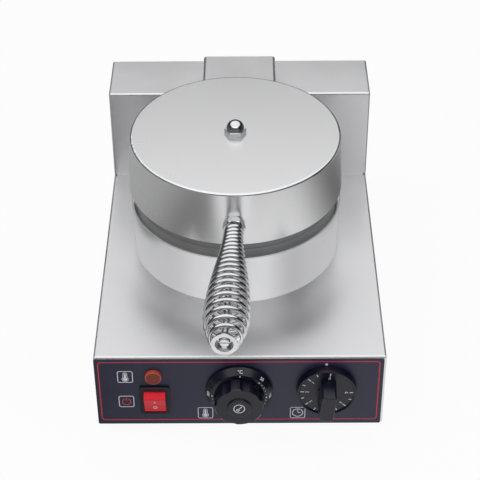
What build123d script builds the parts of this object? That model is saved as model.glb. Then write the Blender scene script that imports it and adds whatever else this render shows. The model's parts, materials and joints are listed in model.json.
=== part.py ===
from build123d import *
import math
import os

# Round waffle maker for a counter, with a hinged upper head and a coil handle.
# Lengths are in millimetres and angles in degrees.
# Working frame: X to the right, Y from the front panel's face to the rear, Z up from the body's lower edge.

# Body, tower and base
body_width = 250.0
body_height = 77.5
deck_depth = 267.5
tower_depth = 60.0
tower_height = 95.0
sheet = 1.2
bend_radius = 2.0
flange_width = 12.0
relief_width = 2.6
relief_height = 1.6
cover_sheet = 1.2
base_sheet = 1.5
base_inset = 3.0
top_screw_inset = 14.0
screw_share = 0.2
vent_width = 4.0
vent_length = 44.0
vent_pitch = 9.0
vent_rows = 4

# Front panel overlay
overlay_skin = 0.8
overlay_left = 0.0
overlay_right = 1.8
overlay_bottom = -1.0
overlay_top = 2.3
overlay_corner = 1.5

# Feet
foot_radius = 12.0
foot_taper = 2.0
foot_height = 12.0
foot_inset_x = 26.0
foot_inset_front = 42.0
foot_inset_rear = 38.0
foot_recess_radius = 6.0
foot_recess_depth = 6.0

# Head axis, measured from the body's middle and from the front panel
head_x = -3.4
head_to_tower = 3.0

# Lower drum, heights above the deck
drum_radius = 95.5
drum_height = 49.5
drum_shoulder = 0.8
drum_opening = 86.5
drum_foot_width = 9.0
deck_hole_radius = 30.0

# Cast plates
plate_flange_radius = 91.0
plate_flange = 7.0
plate_body_radius = 85.0
plate_thickness = 14.0
plate_gap = 0.4
cavity_radius = 80.0
cavity_depth = 7.0
stud_pitch = 17.0
stud_foot = 11.5
stud_height = 5.0
stud_draft = 15.0
stud_ring = 3.0
divider_width = 4.0
divider_height = 5.0
tap_depth = 4.0

# Tubular elements and what presses them to the plates
element_ring = 58.0
element_radius = 4.0
element_gap = 40.0
element_bend = 10.0
element_leg = 22.0
element_pin_radius = 1.6
element_pin = 8.0
press_radius = 72.0
press_sheet = 2.0
insulation_radius = 76.0
insulation_thickness = 14.0
shield_radius = 80.0
shield_sheet = 1.0
leg_clearance = 1.2
cutout_radius = 11.0
cutout_height = 9.0
cutout_clearance = 2.0

# Threaded rods and nuts
tie_radius = 3.0
tie_circle = 40.0
tie_tail = 11.0
hole_clearance = 0.3
thread_clearance = 0.02
tie_nut_flats = 10.0
tie_nut_height = 5.0
arm_tie_inset = 10.5
arm_tie_y = 35.0

# Upper head cover, heights above the deck
cover_radius = 96.5
cover_top_radius = 94.2
cover_rim = 66.2
cover_top = 117.5
cover_edge = 2.2

# Hinged arm
arm_width = 69.0
arm_sheet = 2.0
arm_bend = 3.0
arm_below_cover = 5.0
arm_front = 22.0
arm_slot_clearance = 1.0
arm_slot_lift = 0.7
axis_above_tower = 8.0
axis_below_arm = 9.5
axis_from_rear = 26.8
arm_overhang = 6.3
arm_ear = 6.0

# Hinge bracket and pin
bracket_sheet = 2.5
bracket_base = 2.0
bracket_front = 24.0
bracket_rear = 5.4
bracket_screw_inset = 11.5
bracket_screw_rear = 8.5
bracket_screw_gap = 10.0
pin_radius = 3.0
pin_running = 0.05
pin_washer = 0.8
pin_washer_radius = 5.5
pin_play = 0.1
clip_groove = 2.4
clip_width = 1.0
clip_radius = 5.2
clip_mouth = 3.6
grommet_hole = 7.0
grommet_lip = 1.5
grommet_gap = 0.1
grommet_bore = 4.5
grommet_y = 13.0

# Centre fixing of the cover
centre_stud_radius = 5.0
centre_nut_flats = 17.0
centre_nut_height = 8.0
centre_stud_proud = 8.0
cap_nut_base = 4.0
cap_nut_edge = 0.4
cap_nut_radius = 7.9
cap_nut_height = 11.9
cap_nut_round = 7.6
spacer_radius = 10.0

# Coil handle, along its own axis from the cover's wall
handle_height = 86.4
handle_length = 155.0
handle_turn = 2.5
handle_side = 3.3
handle_nut_flats = 17.0
handle_nut_height = 6.5
handle_seat = 0.05
rod_radius = 3.0
rod_tail = 13.0
inner_washer_radius = 7.0
inner_washer = 1.2
wire_radius = 1.9
coil_gap = 0.3
coil_turns = 20
coil_base_radius = 6.6
coil_belly_radius = 16.9
coil_tip_radius = 10.3
coil_belly_at = 0.80
coil_swell_power = 1.72
coil_pitch_share = 0.333
coil_pitch_plain = 3.2
cup_rim_radius = 10.3
cup_radius = 8.0
cup_wall = 0.8
cup_depth = 5.0
cup_gap = 0.3
bolt_head_radius = 4.6
bolt_head_height = 3.0

# Thermostat and its knob
thermostat_x = -0.7
thermostat_z = 39.5
thermostat_width = 46.0
thermostat_height = 36.0
thermostat_depth = 22.0
spindle_radius = 3.0
bush_radius = 4.8
bush_proud = 2.4
panel_hole_clearance = 0.2
knob_gap = 0.5
knob_socket = 11.0
dial_radius = 29.2
dial_edge = 2.6
dial_bevel = 4.6
dial_shoulder = 7.8
dial_rise = 8.2
dial_opening = 21.7
dial_floor = 1.0
grip_radius = 21.2
grip_front = 21.7
grip_flange = 4.5
grip_lobes = 8
grip_first_scallop = 14.0
grip_scallop_radius = 8.4
grip_scallop_centre = 27.8
grip_chamfer = 1.2
cap_radius = 10.4
cap_recess = 0.8
cap_height = 2.2
cap_gap = 0.2
cap_round = 1.2
grip_boss_radius = 8.0
grip_boss_gap = 0.5
knob_hollow_radius = 22.0
knob_hollow = 2.6
fixing_spacing = 28.0
fixing_head_radius = 3.4
fixing_head = 1.4
fixing_radius = 1.9

# Timer and its knob
timer_from_right = 50.3
timer_z = 41.6
timer_side = 50.0
timer_depth = 28.0
timer_set = 5.5
timer_rim_radius = 25.5
timer_base_radius = 26.1
timer_rim = 7.0
timer_dish = 1.4
timer_lip = 1.2
timer_bar_width = 13.5
timer_bar_length = 28.8
timer_bar_front = 27.2
timer_bar_corner = 2.5
bell_radius = 19.0
bell_height = 8.0
bell_wall = 1.0
bell_post = 2.5

# Rocker switch
switch_from_left = 51.0
switch_z = 28.9
bezel_width = 25.7
bezel_height = 31.6
bezel_proud = 2.5
bezel_corner = 1.5
switch_body_width = 22.6
switch_body_height = 28.6
switch_depth = 22.0
rocker_width = 18.6
rocker_radius = 12.2
rocker_drop = 0.9
rocker_corner = 36.0
rocker_hollow = 1.2
rocker_tilt = 18.0
rocker_side_gap = 0.3
rocker_end_gap = 0.35
rocker_back = 5.0
trunnion_radius = 1.6
trunnion_length = 1.0
trunnion_running = 0.06
blade_width = 6.3
blade_sheet = 0.8
blade_length = 9.0
blade_spacing = 9.0

# Pilot lamp
lamp_from_left = 50.5
lamp_z = 56.5
lens_radius = 7.2
lens_proud = 3.6
lens_dome = 1.0
lens_wall = 1.2
lamp_radius = 5.8
lamp_depth = 26.0

# Rear inlet, earth stud and terminals
gland_from_right = 55.0
gland_z = 30.0
gland_bore = 3.6
gland_thread = 7.9
gland_inner = 12.0
gland_flats = 22.0
gland_flange = 5.0
gland_cap_flats = 19.0
gland_cap = 13.0
gland_nose = 3.3
gland_gap = 0.2
gland_nut_height = 4.5
terminal_from_right = 73.0
terminal_from_rear = 55.5
terminal_length = 58.0
terminal_width = 20.0
terminal_height = 17.0
terminal_poles = 4
terminal_bore = 2.4

# Thermostat feeler under the lower plate
bulb_radius = 3.0
bulb_length = 64.0
bulb_y = 8.0
bulb_gap = 0.1
capillary_radius = 0.8
capillary_x = 46.0
capillary_bend = 5.0
capillary_clearance = 2.5
capillary_inner_x = 20.0
capillary_above_axis = 10.5

# Small screws
screw_radius = 2.0
screw_head_radius = 4.0
screw_head = 2.4
screw_slot = 1.0
screw_slot_depth = 1.2
screw_length = 8.0
small_nut_flats = 7.0
small_nut_height = 3.2

# Worked out from the values above
half_width = body_width / 2
head_y = deck_depth - cover_radius - head_to_tower
timer_x = half_width - timer_from_right
switch_x = switch_from_left - half_width
lamp_x = lamp_from_left - half_width
gland_x = half_width - gland_from_right
terminal_x = half_width - terminal_from_right
arm_inside = arm_width / 2 - arm_sheet
arm_tie_x = arm_inside - arm_tie_inset
bracket_width = 2 * (arm_inside - pin_washer - 2 * pin_play)
body_depth = deck_depth + tower_depth
terminal_y = body_depth - terminal_from_rear
shell_rear = body_depth - cover_sheet
tower_top = body_height + tower_height
inner_bend = max(bend_radius - sheet, 0.3)
front_inside = overlay_skin + sheet
deck_under = body_height - sheet
foot_bottom = -base_sheet - foot_height
lower_face = body_height + drum_height + plate_flange
lower_back = lower_face - plate_thickness
upper_face = lower_face + plate_gap
upper_back = upper_face + plate_thickness
cover_base_z = body_height + cover_rim
cover_top_z = body_height + cover_top
cover_ceiling = cover_top_z - sheet
arm_top = cover_top_z - arm_below_cover
arm_under = arm_top - arm_sheet
axis_y = body_depth - axis_from_rear
axis_z = tower_top + axis_above_tower
arm_rear = axis_y + arm_overhang
handle_z = body_height + handle_height
cover_taper = (cover_radius - cover_top_radius) / (cover_top - cover_rim)
handle_rise = math.degrees(math.atan(cover_taper))
seat_radius = cover_radius - cover_taper * (handle_height - cover_rim)
nut_front = seat_radius + handle_seat + handle_nut_height
base_lead = wire_radius * (coil_pitch_plain / coil_base_radius + coil_pitch_share) / math.pi
tip_lead = wire_radius * (coil_pitch_plain / coil_tip_radius + coil_pitch_share) / math.pi
coil_start = nut_front + coil_gap + wire_radius + base_lead
coil_end = cover_radius + handle_length
coil_length = coil_end - coil_start
handle_tip = coil_end + tip_lead + wire_radius + cup_gap + cup_wall
handle_seat_place = Pos(head_x, head_y, handle_z) * Rot(Z=-handle_turn) * Pos(handle_side, -seat_radius, 0)
handle_place = handle_seat_place * Rot(X=90 - handle_rise) * Pos(0, 0, -seat_radius)
tie_nut_corner = tie_nut_flats / math.sqrt(3)
centre_nut_corner = centre_nut_flats / math.sqrt(3)
gland_rear = body_depth + gland_flange + gland_cap


def block(x0, x1, y0, y1, z0, z1):
    """Box between two corners."""
    size = Box(x1 - x0, y1 - y0, z1 - z0, align=Align.MIN)
    return Pos(x0, y0, z0) * size


def rod(radius, z0, z1, x=0.0, y=0.0):
    """Upright cylinder from z0 to z1."""
    bar = Cylinder(radius, z1 - z0, align=(Align.CENTER, Align.CENTER, Align.MIN))
    return Pos(x, y, z0) * bar


def forward(x, y, z):
    """Place whose own Z points out of the front panel and whose own Y points up."""
    return Pos(x, y, z) * Rot(X=90)


def backward(x, y, z):
    """Place whose own Z points out of the rear cover."""
    return Pos(x, y, z) * Rot(X=-90)


def turned(points):
    """Solid of revolution about Z from (radius, height) corners."""
    outline = Polyline([(r, 0, h) for r, h in points], close=True)
    return revolve(make_face(outline), Axis.Z, 360)


def hexagon(flats, z0, z1, bore=0.0):
    """Hexagonal nut with its corners chamfered at both ends."""
    corner = flats / math.sqrt(3)
    prism = Pos(0, 0, z0) * extrude(RegularPolygon(corner, 6), amount=z1 - z0)
    drum = rod(corner, z0, z1)
    drum = chamfer(drum.edges(), (corner - flats / 2) * 0.9)
    nut = prism & drum
    if bore > 0:
        nut -= rod(bore, z0 - 1, z1 + 1)
    return nut


def pan_screw(length, radius=screw_radius, head=screw_head_radius, height=screw_head):
    """Slotted screw: its head rises from z = 0 and its shank goes down from there."""
    cap = rod(head, 0, height)
    cap = fillet(cap.edges().sort_by(Axis.Z)[-1], height * 0.45)
    cut = block(-head, head, -screw_slot / 2, screw_slot / 2, height - screw_slot_depth, height + 1)
    return cap - cut + rod(radius, -length, 0)


def ring_places(radius, angles):
    """Points on a circle round the head axis, relative to that axis."""
    return [(radius * math.cos(math.radians(a)), radius * math.sin(math.radians(a))) for a in angles]


def tube_along(points, radius, bend):
    """Round tube along straight runs joined by tangent arcs."""
    path = FilletPolyline(*points, radius=bend)
    section = Plane(origin=path @ 0, z_dir=path % 0) * Circle(radius)
    return sweep(section, path=path)


def folded(x0, x1, y0, y1, z0, z1, radius, uprights):
    """Block with its upper front and side folds rounded, and its front uprights too where asked."""
    body = block(x0, x1, y0, y1, z0, z1)
    folds = body.edges().filter_by(Axis.Y).group_by(Axis.Z)[-1]
    folds += body.edges().filter_by(Axis.X).group_by(Axis.Z)[-1].group_by(Axis.Y)[0]
    if uprights:
        folds += body.edges().filter_by(Axis.Z).group_by(Axis.Y)[0]
    return fillet(folds, radius)


tie_places = ring_places(tie_circle, (90, 210, 330))
arm_tie_places = [(-arm_tie_x, arm_tie_y), (arm_tie_x, arm_tie_y)]
fixing_x = (-fixing_spacing / 2, fixing_spacing / 2)
foot_places = [
    (side * (half_width - foot_inset_x), y)
    for side in (-1, 1)
    for y in (foot_inset_front, body_depth - foot_inset_rear)
]
base_screw_places = [
    (side * (half_width - sheet - flange_width / 2), share * body_depth)
    for side in (-1, 1)
    for share in (0.06, 0.5, 0.95)
]
cover_screw_places = [
    (side * (half_width - sheet - flange_width / 2), z)
    for side in (-1, 1)
    for z in (
        screw_share * body_height, (1 - screw_share) * body_height,
        body_height + screw_share * tower_height, tower_top - top_screw_inset,
    )
]
tower_screw_places = [(share * body_width, deck_depth + sheet + flange_width / 2) for share in (-0.4, 0, 0.4)]
bracket_screw_x = bracket_width / 2 - bracket_screw_inset
bracket_screw_places = [
    (side * bracket_screw_x, axis_y - bracket_screw_rear - row * bracket_screw_gap)
    for side in (-1, 1)
    for row in (0, 1)
]


# Body shell: deck, two sides and front wall folded from one sheet
def make_body_shell():
    shell = folded(-half_width, half_width, overlay_skin, shell_rear, 0, body_height, bend_radius, False)
    inside = half_width - sheet
    shell -= folded(-inside, inside, front_inside, shell_rear + 1, -1, deck_under, inner_bend, False)
    for side in (-1, 1):
        edge = side * inside
        x0, x1 = sorted((edge, edge - side * flange_width))
        shell += block(x0, x1, front_inside, shell_rear, 0, sheet)
        shell += block(x0, x1, shell_rear - sheet, shell_rear, 0, deck_under - inner_bend)
    hole = panel_hole_clearance
    for x, z in ((thermostat_x, thermostat_z), (timer_x, timer_z)):
        shell -= forward(x, front_inside, z) * rod(bush_radius + hole, -1, sheet + 1)
        for dx in fixing_x:
            shell -= forward(x + dx, front_inside, z) * rod(fixing_radius + hole, -1, sheet + 1)
    shell -= forward(lamp_x, front_inside, lamp_z) * rod(lamp_radius + hole, -1, sheet + 1)
    wide = switch_body_width / 2 + hole
    tall = switch_body_height / 2 + hole
    shell -= block(switch_x - wide, switch_x + wide, 0, front_inside + 1, switch_z - tall, switch_z + tall)
    shell -= rod(deck_hole_radius, deck_under - 1, body_height + 1, head_x, head_y)
    for x, y in tie_places:
        shell -= rod(tie_radius + hole_clearance, deck_under - 1, body_height + 1, head_x + x, head_y + y)
    for x, y in tower_screw_places:
        shell -= rod(screw_radius + hole_clearance, deck_under - 1, body_height + 1, x, y)
    for x, y in base_screw_places:
        shell -= rod(screw_radius + hole_clearance, -1, sheet + 1, x, y)
    for x, z in cover_screw_places[:2] + cover_screw_places[4:6]:
        shell -= backward(x, shell_rear, z) * rod(screw_radius + hole_clearance, -sheet - 1, 1)
    riser = block(-half_width * 0.5, half_width * 0.5, deck_depth + flange_width + 8, shell_rear - 10,
                  deck_under - 1, body_height + 1)
    return shell - riser


# Front panel overlay: a thin dark plate over the whole front wall
def make_control_panel():
    plate = block(-half_width + overlay_left, half_width - overlay_right, 0, overlay_skin,
                  overlay_bottom, body_height - overlay_top)
    plate = fillet(plate.edges().filter_by(Axis.Y), overlay_corner)
    hole = panel_hole_clearance
    for x, z in ((thermostat_x, thermostat_z), (timer_x, timer_z)):
        plate -= forward(x, overlay_skin, z) * rod(bush_radius + hole, -1, overlay_skin + 1)
        for dx in fixing_x:
            plate -= forward(x + dx, overlay_skin, z) * rod(fixing_radius + hole, -1, overlay_skin + 1)
    plate -= forward(lamp_x, overlay_skin, lamp_z) * rod(lamp_radius + hole, -1, overlay_skin + 1)
    wide = switch_body_width / 2 + hole
    tall = switch_body_height / 2 + hole
    return plate - block(switch_x - wide, switch_x + wide, -1, overlay_skin + 1, switch_z - tall, switch_z + tall)


# Rear tower: the raised box at the back, open below and behind
def make_rear_tower():
    base = body_height
    top = tower_top
    tower = folded(-half_width, half_width, deck_depth, shell_rear, base, top, bend_radius, True)
    inside = half_width - sheet
    tower -= folded(-inside, inside, deck_depth + sheet, shell_rear + 1, base - 1, top - sheet, inner_bend, True)
    tower += block(-inside + relief_width, inside - relief_width, deck_depth + sheet,
                   deck_depth + sheet + flange_width, base, base + sheet)
    for side in (-1, 1):
        edge = side * inside
        x0, x1 = sorted((edge, edge - side * flange_width))
        tower += block(x0, x1, shell_rear - sheet, shell_rear, base, top - sheet - inner_bend)
        corner = side * half_width
        x0, x1 = sorted((corner, corner - side * relief_width))
        tower -= block(x0, x1, deck_depth - 1, deck_depth + relief_width, base - 1, base + relief_height)
    for x, y in tower_screw_places:
        tower -= rod(screw_radius + hole_clearance, base - 1, base + sheet + 1, x, y)
    for x, z in cover_screw_places[2:4] + cover_screw_places[6:]:
        tower -= backward(x, shell_rear, z) * rod(screw_radius + hole_clearance, -sheet - 1, 1)
    for x, y in bracket_screw_places:
        tower -= rod(screw_radius + hole_clearance, top - sheet - 1, top + 1, x, y)
    return tower - rod(grommet_hole, top - sheet - 1, top + 1, 0, axis_y - grommet_y)


# Rear cover: one flat sheet that closes body and tower, with cooling slots
def make_rear_cover():
    sheet_back = block(-half_width, half_width, shell_rear, body_depth, 0, tower_top)
    sheet_back = fillet(sheet_back.edges().filter_by(Axis.Y), bend_radius)
    slot = extrude(SlotOverall(vent_length, vent_width), amount=cover_sheet + 2)
    for bank_z in (body_height * 0.28, body_height + tower_height * 0.3):
        for row in range(vent_rows):
            for x in (-0.25 * body_width, 0.02 * body_width):
                sheet_back -= backward(x, shell_rear - 1, bank_z + row * vent_pitch) * slot
    inlet = rod(gland_thread + panel_hole_clearance, 0, cover_sheet + 2)
    sheet_back -= backward(gland_x, shell_rear - 1, gland_z) * inlet
    for x, z in cover_screw_places:
        sheet_back -= backward(x, shell_rear - 1, z) * rod(screw_radius + hole_clearance, 0, cover_sheet + 2)
    return sheet_back


# Base plate with cooling slots, screwed under the body's lower flanges
def make_base_plate():
    edge = half_width - base_inset
    plate = block(-edge, edge, base_inset, body_depth - base_inset, -base_sheet, 0)
    plate = fillet(plate.edges().filter_by(Axis.Z), base_inset)
    slot = extrude(SlotOverall(vent_length, vent_width), amount=base_sheet + 2)
    for x in (-0.2 * body_width, 0.2 * body_width):
        for row in range(2 * vent_rows):
            plate -= Pos(x, 0.3 * body_depth + row * vent_pitch, -base_sheet - 1) * slot
    for x, y in foot_places + base_screw_places:
        plate -= rod(screw_radius + hole_clearance, -base_sheet - 1, 1, x, y)
    return plate


# Four rubber feet, each with a recess for its screw
def make_rubber_feet():
    foot = turned([(0, 0), (foot_radius - foot_taper, 0), (foot_radius, foot_height), (0, foot_height)])
    foot = fillet(foot.edges().sort_by(Axis.Z)[0], 1.5)
    foot -= rod(foot_recess_radius, -1, foot_recess_depth)
    foot -= rod(screw_radius + hole_clearance, 0, foot_height + 1)
    return [Pos(x, y, foot_bottom) * foot for x, y in foot_places]


def make_foot_screws():
    screw = Rot(X=180) * pan_screw(foot_height - foot_recess_depth + base_sheet + 6)
    return [Pos(x, y, foot_bottom + foot_recess_depth) * screw for x, y in foot_places]


# The same short screw holds rear cover, tower, base plate and hinge bracket
def make_casing_screws():
    screw = pan_screw(screw_length)
    screws = [backward(x, body_depth, z) * screw for x, z in cover_screw_places]
    screws += [Pos(x, y, body_height + sheet) * screw for x, y in tower_screw_places]
    screws += [Pos(x, y, -base_sheet) * Rot(X=180) * screw for x, y in base_screw_places]
    screws += [Pos(x, y, tower_top + bracket_base) * screw for x, y in bracket_screw_places]
    return screws


# Nuts of that screw: over the feet, under the deck and under the tower's top
def make_casing_nuts():
    nut = hexagon(small_nut_flats, 0, small_nut_height, screw_radius + thread_clearance)
    nuts = [Pos(x, y, 0) * nut for x, y in foot_places]
    nuts += [Pos(x, y, deck_under - small_nut_height) * nut for x, y in tower_screw_places]
    nuts += [Pos(x, y, tower_top - sheet - small_nut_height) * nut for x, y in bracket_screw_places]
    return nuts


# Lower drum: round steel wall that stands on the deck and carries the lower plate
def make_lower_drum():
    r = drum_radius
    wall = turned([
        (r - drum_foot_width, 0), (r, 0), (r, drum_height), (drum_opening, drum_height),
        (drum_opening, drum_height - sheet), (r - sheet, drum_height - sheet),
        (r - sheet, sheet), (r - drum_foot_width, sheet),
    ])
    shoulder = wall.edges().filter_by(GeomType.CIRCLE).group_by(Axis.Z)[-1].sort_by(SortBy.RADIUS)[-1]
    wall = fillet(shoulder, drum_shoulder)
    under = wall.edges().filter_by(GeomType.CIRCLE).group_by(Axis.Z)[-2]
    inner = [e for e in under if abs(e.radius - (r - sheet)) < 0.01]
    if inner:
        wall = fillet(inner, max(drum_shoulder - sheet, 0.3))
    return Pos(head_x, head_y, body_height) * wall


# Cast plate with a round cavity, a cross-shaped divider and a field of tapered studs.
# Its rim lies at z = 0 and its back at z = -plate_thickness.
def make_cast_plate():
    floor = -cavity_depth
    back = -plate_thickness
    plate = turned([
        (0, back), (plate_body_radius, back), (plate_body_radius, -plate_flange),
        (plate_flange_radius, -plate_flange), (plate_flange_radius, 0), (cavity_radius, 0),
        (cavity_radius - 1.5, floor), (0, floor),
    ])
    field = cavity_radius - 1.5 - stud_ring
    first = divider_width / 2 + stud_pitch - stud_foot / 2
    places = []
    at = first
    while at - stud_foot / 2 < field:
        places += [-at, at]
        at += stud_pitch
    stud = Pos(0, 0, floor) * extrude(Rectangle(stud_foot, stud_foot), amount=stud_height, taper=stud_draft)
    edge = rod(field, floor, 0)
    studs = []
    for x in places:
        for y in places:
            far = math.hypot(abs(x) + stud_foot / 2, abs(y) + stud_foot / 2)
            if math.hypot(x, y) < field + 2:
                here = Pos(x, y, 0) * stud
                studs.append(here if far < field else here & edge)
    half = divider_width / 2
    reach = cavity_radius - 1
    top = floor + divider_height
    cross = block(-reach, reach, -half, half, floor, top) + block(-half, half, -reach, reach, floor, top)
    return plate + cross + studs


def make_lower_plate():
    plate = make_cast_plate()
    for x, y in tie_places:
        plate -= rod(tie_radius + thread_clearance, -plate_thickness - 1, tap_depth - plate_thickness, x, y)
    return Pos(head_x, head_y, lower_face) * plate


def make_upper_plate():
    plate = make_cast_plate()
    for x, y in arm_tie_places:
        plate -= rod(tie_radius + thread_clearance, -plate_thickness - 1, tap_depth - plate_thickness, x, -y)
    plate -= rod(centre_stud_radius + thread_clearance, -plate_thickness - 1, tap_depth - plate_thickness)
    return Pos(head_x, head_y, upper_face) * Rot(X=180) * plate


def leg_places(azimuth, reach):
    """Places under the element's two bends, at a distance from the ends of its ring."""
    places = []
    for side in (-1, 1):
        a = math.radians(azimuth + side * element_gap / 2)
        x = element_ring * math.cos(a) + side * reach * math.sin(a)
        y = element_ring * math.sin(a) - side * reach * math.cos(a)
        places.append((x, y))
    return places


# Tubular element: an open ring against the plate's back, with two legs away from it.
# Local z = 0 is the plate's back and z grows away from the plate.
def make_element(azimuth):
    mid = element_radius
    ends = []
    for side in (-1, 1):
        a = math.radians(azimuth + side * element_gap / 2)
        point = Vector(element_ring * math.cos(a), element_ring * math.sin(a), mid)
        heading = Vector(side * math.sin(a), -side * math.cos(a), 0)
        bend_end = point + heading * element_bend + Vector(0, 0, element_bend)
        ends.append((point, heading, bend_end, bend_end + Vector(0, 0, element_leg - element_bend)))
    far = math.radians(azimuth + 180)
    middle = Vector(element_ring * math.cos(far), element_ring * math.sin(far), mid)
    first, last = ends[1], ends[0]
    path = Wire([
        Edge.make_line(first[3], first[2]),
        Edge.make_tangent_arc(first[2], Vector(0, 0, -1), first[0]),
        Edge.make_three_point_arc(first[0], middle, last[0]),
        Edge.make_tangent_arc(last[0], last[1], last[2]),
        Edge.make_line(last[2], last[3]),
    ])
    tube = sweep(Plane(origin=first[3], z_dir=(0, 0, -1)) * Circle(element_radius), path=path)
    for end in ends:
        tube += rod(element_pin_radius, end[3].Z - 2, end[3].Z + element_pin, end[3].X, end[3].Y)
    return tube


def make_disc(radius, z0, z1, azimuth, ties, centre, tie_hole=tie_radius + hole_clearance):
    """Round plate with holes for the element's legs, the tie rods and the middle."""
    disc = rod(radius, z0, z1)
    for share in (0.5, 0.75, 1.0):
        for x, y in leg_places(azimuth, share * element_bend):
            disc -= rod(element_radius + leg_clearance, z0 - 1, z1 + 1, x, y)
    for x, y in ties:
        disc -= rod(tie_hole, z0 - 1, z1 + 1, x, y)
    return disc - rod(centre, z0 - 1, z1 + 1)


lower_azimuth = -90
upper_azimuth = 90
lower_place = Pos(head_x, head_y, lower_back) * Rot(X=180)
upper_place = Pos(head_x, head_y, upper_back)
press_at = 2 * element_radius
wool_at = press_at + press_sheet
shield_at = wool_at + insulation_thickness
flipped_ties = [(x, -y) for x, y in tie_places]
capillary_hole = (capillary_x, bulb_y)


def with_feeler_hole(disc, z0, z1):
    """The same disc with a hole for the thin feeler tube."""
    return disc - rod(capillary_radius + leg_clearance, z0 - 1, z1 + 1, *capillary_hole)


def make_lower_element():
    return lower_place * make_element(-lower_azimuth)


def make_lower_press_plate():
    disc = make_disc(press_radius, press_at, wool_at, -lower_azimuth, flipped_ties, screw_radius)
    return lower_place * with_feeler_hole(disc, press_at, wool_at)


def make_lower_insulation():
    disc = make_disc(insulation_radius, wool_at, shield_at, -lower_azimuth, flipped_ties,
                     cutout_radius + cutout_clearance)
    return lower_place * with_feeler_hole(disc, wool_at, shield_at)


def make_lower_heat_shield():
    end = shield_at + shield_sheet
    disc = make_disc(shield_radius, shield_at, end, -lower_azimuth, flipped_ties, cutout_radius)
    return lower_place * with_feeler_hole(disc, shield_at, end)


# Over-temperature cut-out against the lower press plate, in the middle of the insulation
def make_thermal_cutout():
    body = rod(cutout_radius, wool_at, wool_at + cutout_height)
    body = fillet(body.edges().sort_by(Axis.Z)[-1], 1.0)
    for side in (-1, 1):
        x = side * cutout_radius * 0.5
        body += block(x - blade_sheet / 2, x + blade_sheet / 2, -blade_width / 2, blade_width / 2,
                      wool_at + cutout_height - 0.5, wool_at + cutout_height + blade_length)
    return lower_place * body


def make_lower_ties():
    low = deck_under - tie_tail
    high = lower_back + tap_depth
    return [rod(tie_radius, low, high, head_x + x, head_y + y) for x, y in tie_places]


def make_lower_nuts():
    bore = tie_radius + thread_clearance
    shield_under = lower_back - shield_at - shield_sheet
    nuts = []
    for x, y in tie_places:
        for top in (shield_under, deck_under):
            nut = hexagon(tie_nut_flats, top - tie_nut_height, top, bore)
            nuts.append(Pos(head_x + x, head_y + y, 0) * nut)
    return nuts


def make_upper_element():
    return upper_place * make_element(upper_azimuth)


def make_upper_press_plate():
    return upper_place * make_disc(press_radius, press_at, wool_at, upper_azimuth, arm_tie_places,
                                   centre_stud_radius + hole_clearance)


def make_upper_insulation():
    return upper_place * make_disc(insulation_radius, wool_at, shield_at, upper_azimuth, arm_tie_places,
                                   centre_nut_corner + hole_clearance, tie_nut_corner + hole_clearance)


def cover_wall(height):
    """Outer radius of the cover's tapering wall at a height above the deck."""
    return cover_radius - cover_taper * (height - cover_rim)


def tapered_pan(low, high, wall, edge):
    """Solid inside the cover's wall between two heights, thinner by the wall, with its top edge rounded."""
    pan = turned([(0, low), (cover_wall(low) - wall, low), (cover_wall(high) - wall, high), (0, high)])
    return fillet(pan.edges().filter_by(GeomType.CIRCLE).sort_by(Axis.Z)[-1], edge)


# Upper head cover: deep round pan, open below, slightly narrower at its top
def make_lid_cover():
    pan = tapered_pan(cover_rim, cover_top, 0, cover_edge)
    pan -= tapered_pan(cover_rim - 1, cover_top - sheet, sheet, max(cover_edge - sheet, 0.3))
    pan = Pos(head_x, head_y, body_height) * pan
    pan -= rod(centre_stud_radius + hole_clearance, cover_ceiling - 1, cover_top_z + 1, head_x, head_y)
    pan -= handle_place * rod(rod_radius + hole_clearance, cover_top_radius - sheet - 3, cover_radius + 3)
    half = arm_width / 2 + arm_slot_clearance
    low = axis_z - arm_ear - arm_slot_clearance
    high = arm_top + arm_slot_lift
    return pan - block(-half, half, head_y + cover_radius * 0.7, head_y + cover_radius + 5, low, high)


# Arm: an inverted channel from the hinge pin to the middle of the upper head
def make_lid_arm():
    half = arm_width / 2
    front = head_y - arm_front
    low = axis_z - arm_ear
    arm = block(-half, half, front, arm_rear, low, arm_top)
    arm = fillet(arm.edges().filter_by(Axis.Y).group_by(Axis.Z)[-1], arm_bend)
    inside = half - arm_sheet
    hollow = block(-inside, inside, front - 1, arm_rear + 1, low - 1, arm_under)
    arm -= fillet(hollow.edges().filter_by(Axis.Y).group_by(Axis.Z)[-1], max(arm_bend - arm_sheet, 0.3))
    ear_cut = block(-half - 1, half + 1, axis_y, arm_rear + 1, low - 1, axis_z)
    ear_keep = Pos(0, axis_y, axis_z) * Rot(Y=90) * Cylinder(arm_ear, arm_width + 4)
    arm -= ear_cut - ear_keep
    slim = block(-half - 1, half + 1, axis_y, arm_rear + 1, axis_z, arm_under - arm_sheet)
    arm -= slim - ear_keep
    arm -= Pos(0, axis_y, axis_z) * Rot(Y=90) * Cylinder(pin_radius + pin_running, arm_width + 4)
    for x, y in arm_tie_places:
        arm -= rod(tie_radius + thread_clearance, arm_under - 1, arm_top + 1, head_x + x, head_y + y)
    return arm - rod(centre_stud_radius + hole_clearance, arm_under - 1, arm_top + 1, head_x, head_y)


def make_upper_ties():
    low = upper_back - tap_depth
    return [rod(tie_radius, low, arm_top, head_x + x, head_y + y) for x, y in arm_tie_places]


# Nuts of the upper rods, and the nut behind the handle's washer
def make_upper_nuts():
    bore = tie_radius + thread_clearance
    on_press = upper_back + wool_at
    nuts = []
    for x, y in arm_tie_places:
        for low in (on_press, arm_under - tie_nut_height):
            nut = hexagon(tie_nut_flats, low, low + tie_nut_height, bore)
            nuts.append(Pos(head_x + x, head_y + y, 0) * nut)
    behind = inner_washer_face - inner_washer
    nuts.append(handle_place * hexagon(tie_nut_flats, behind - tie_nut_height, behind, bore))
    return nuts


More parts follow.
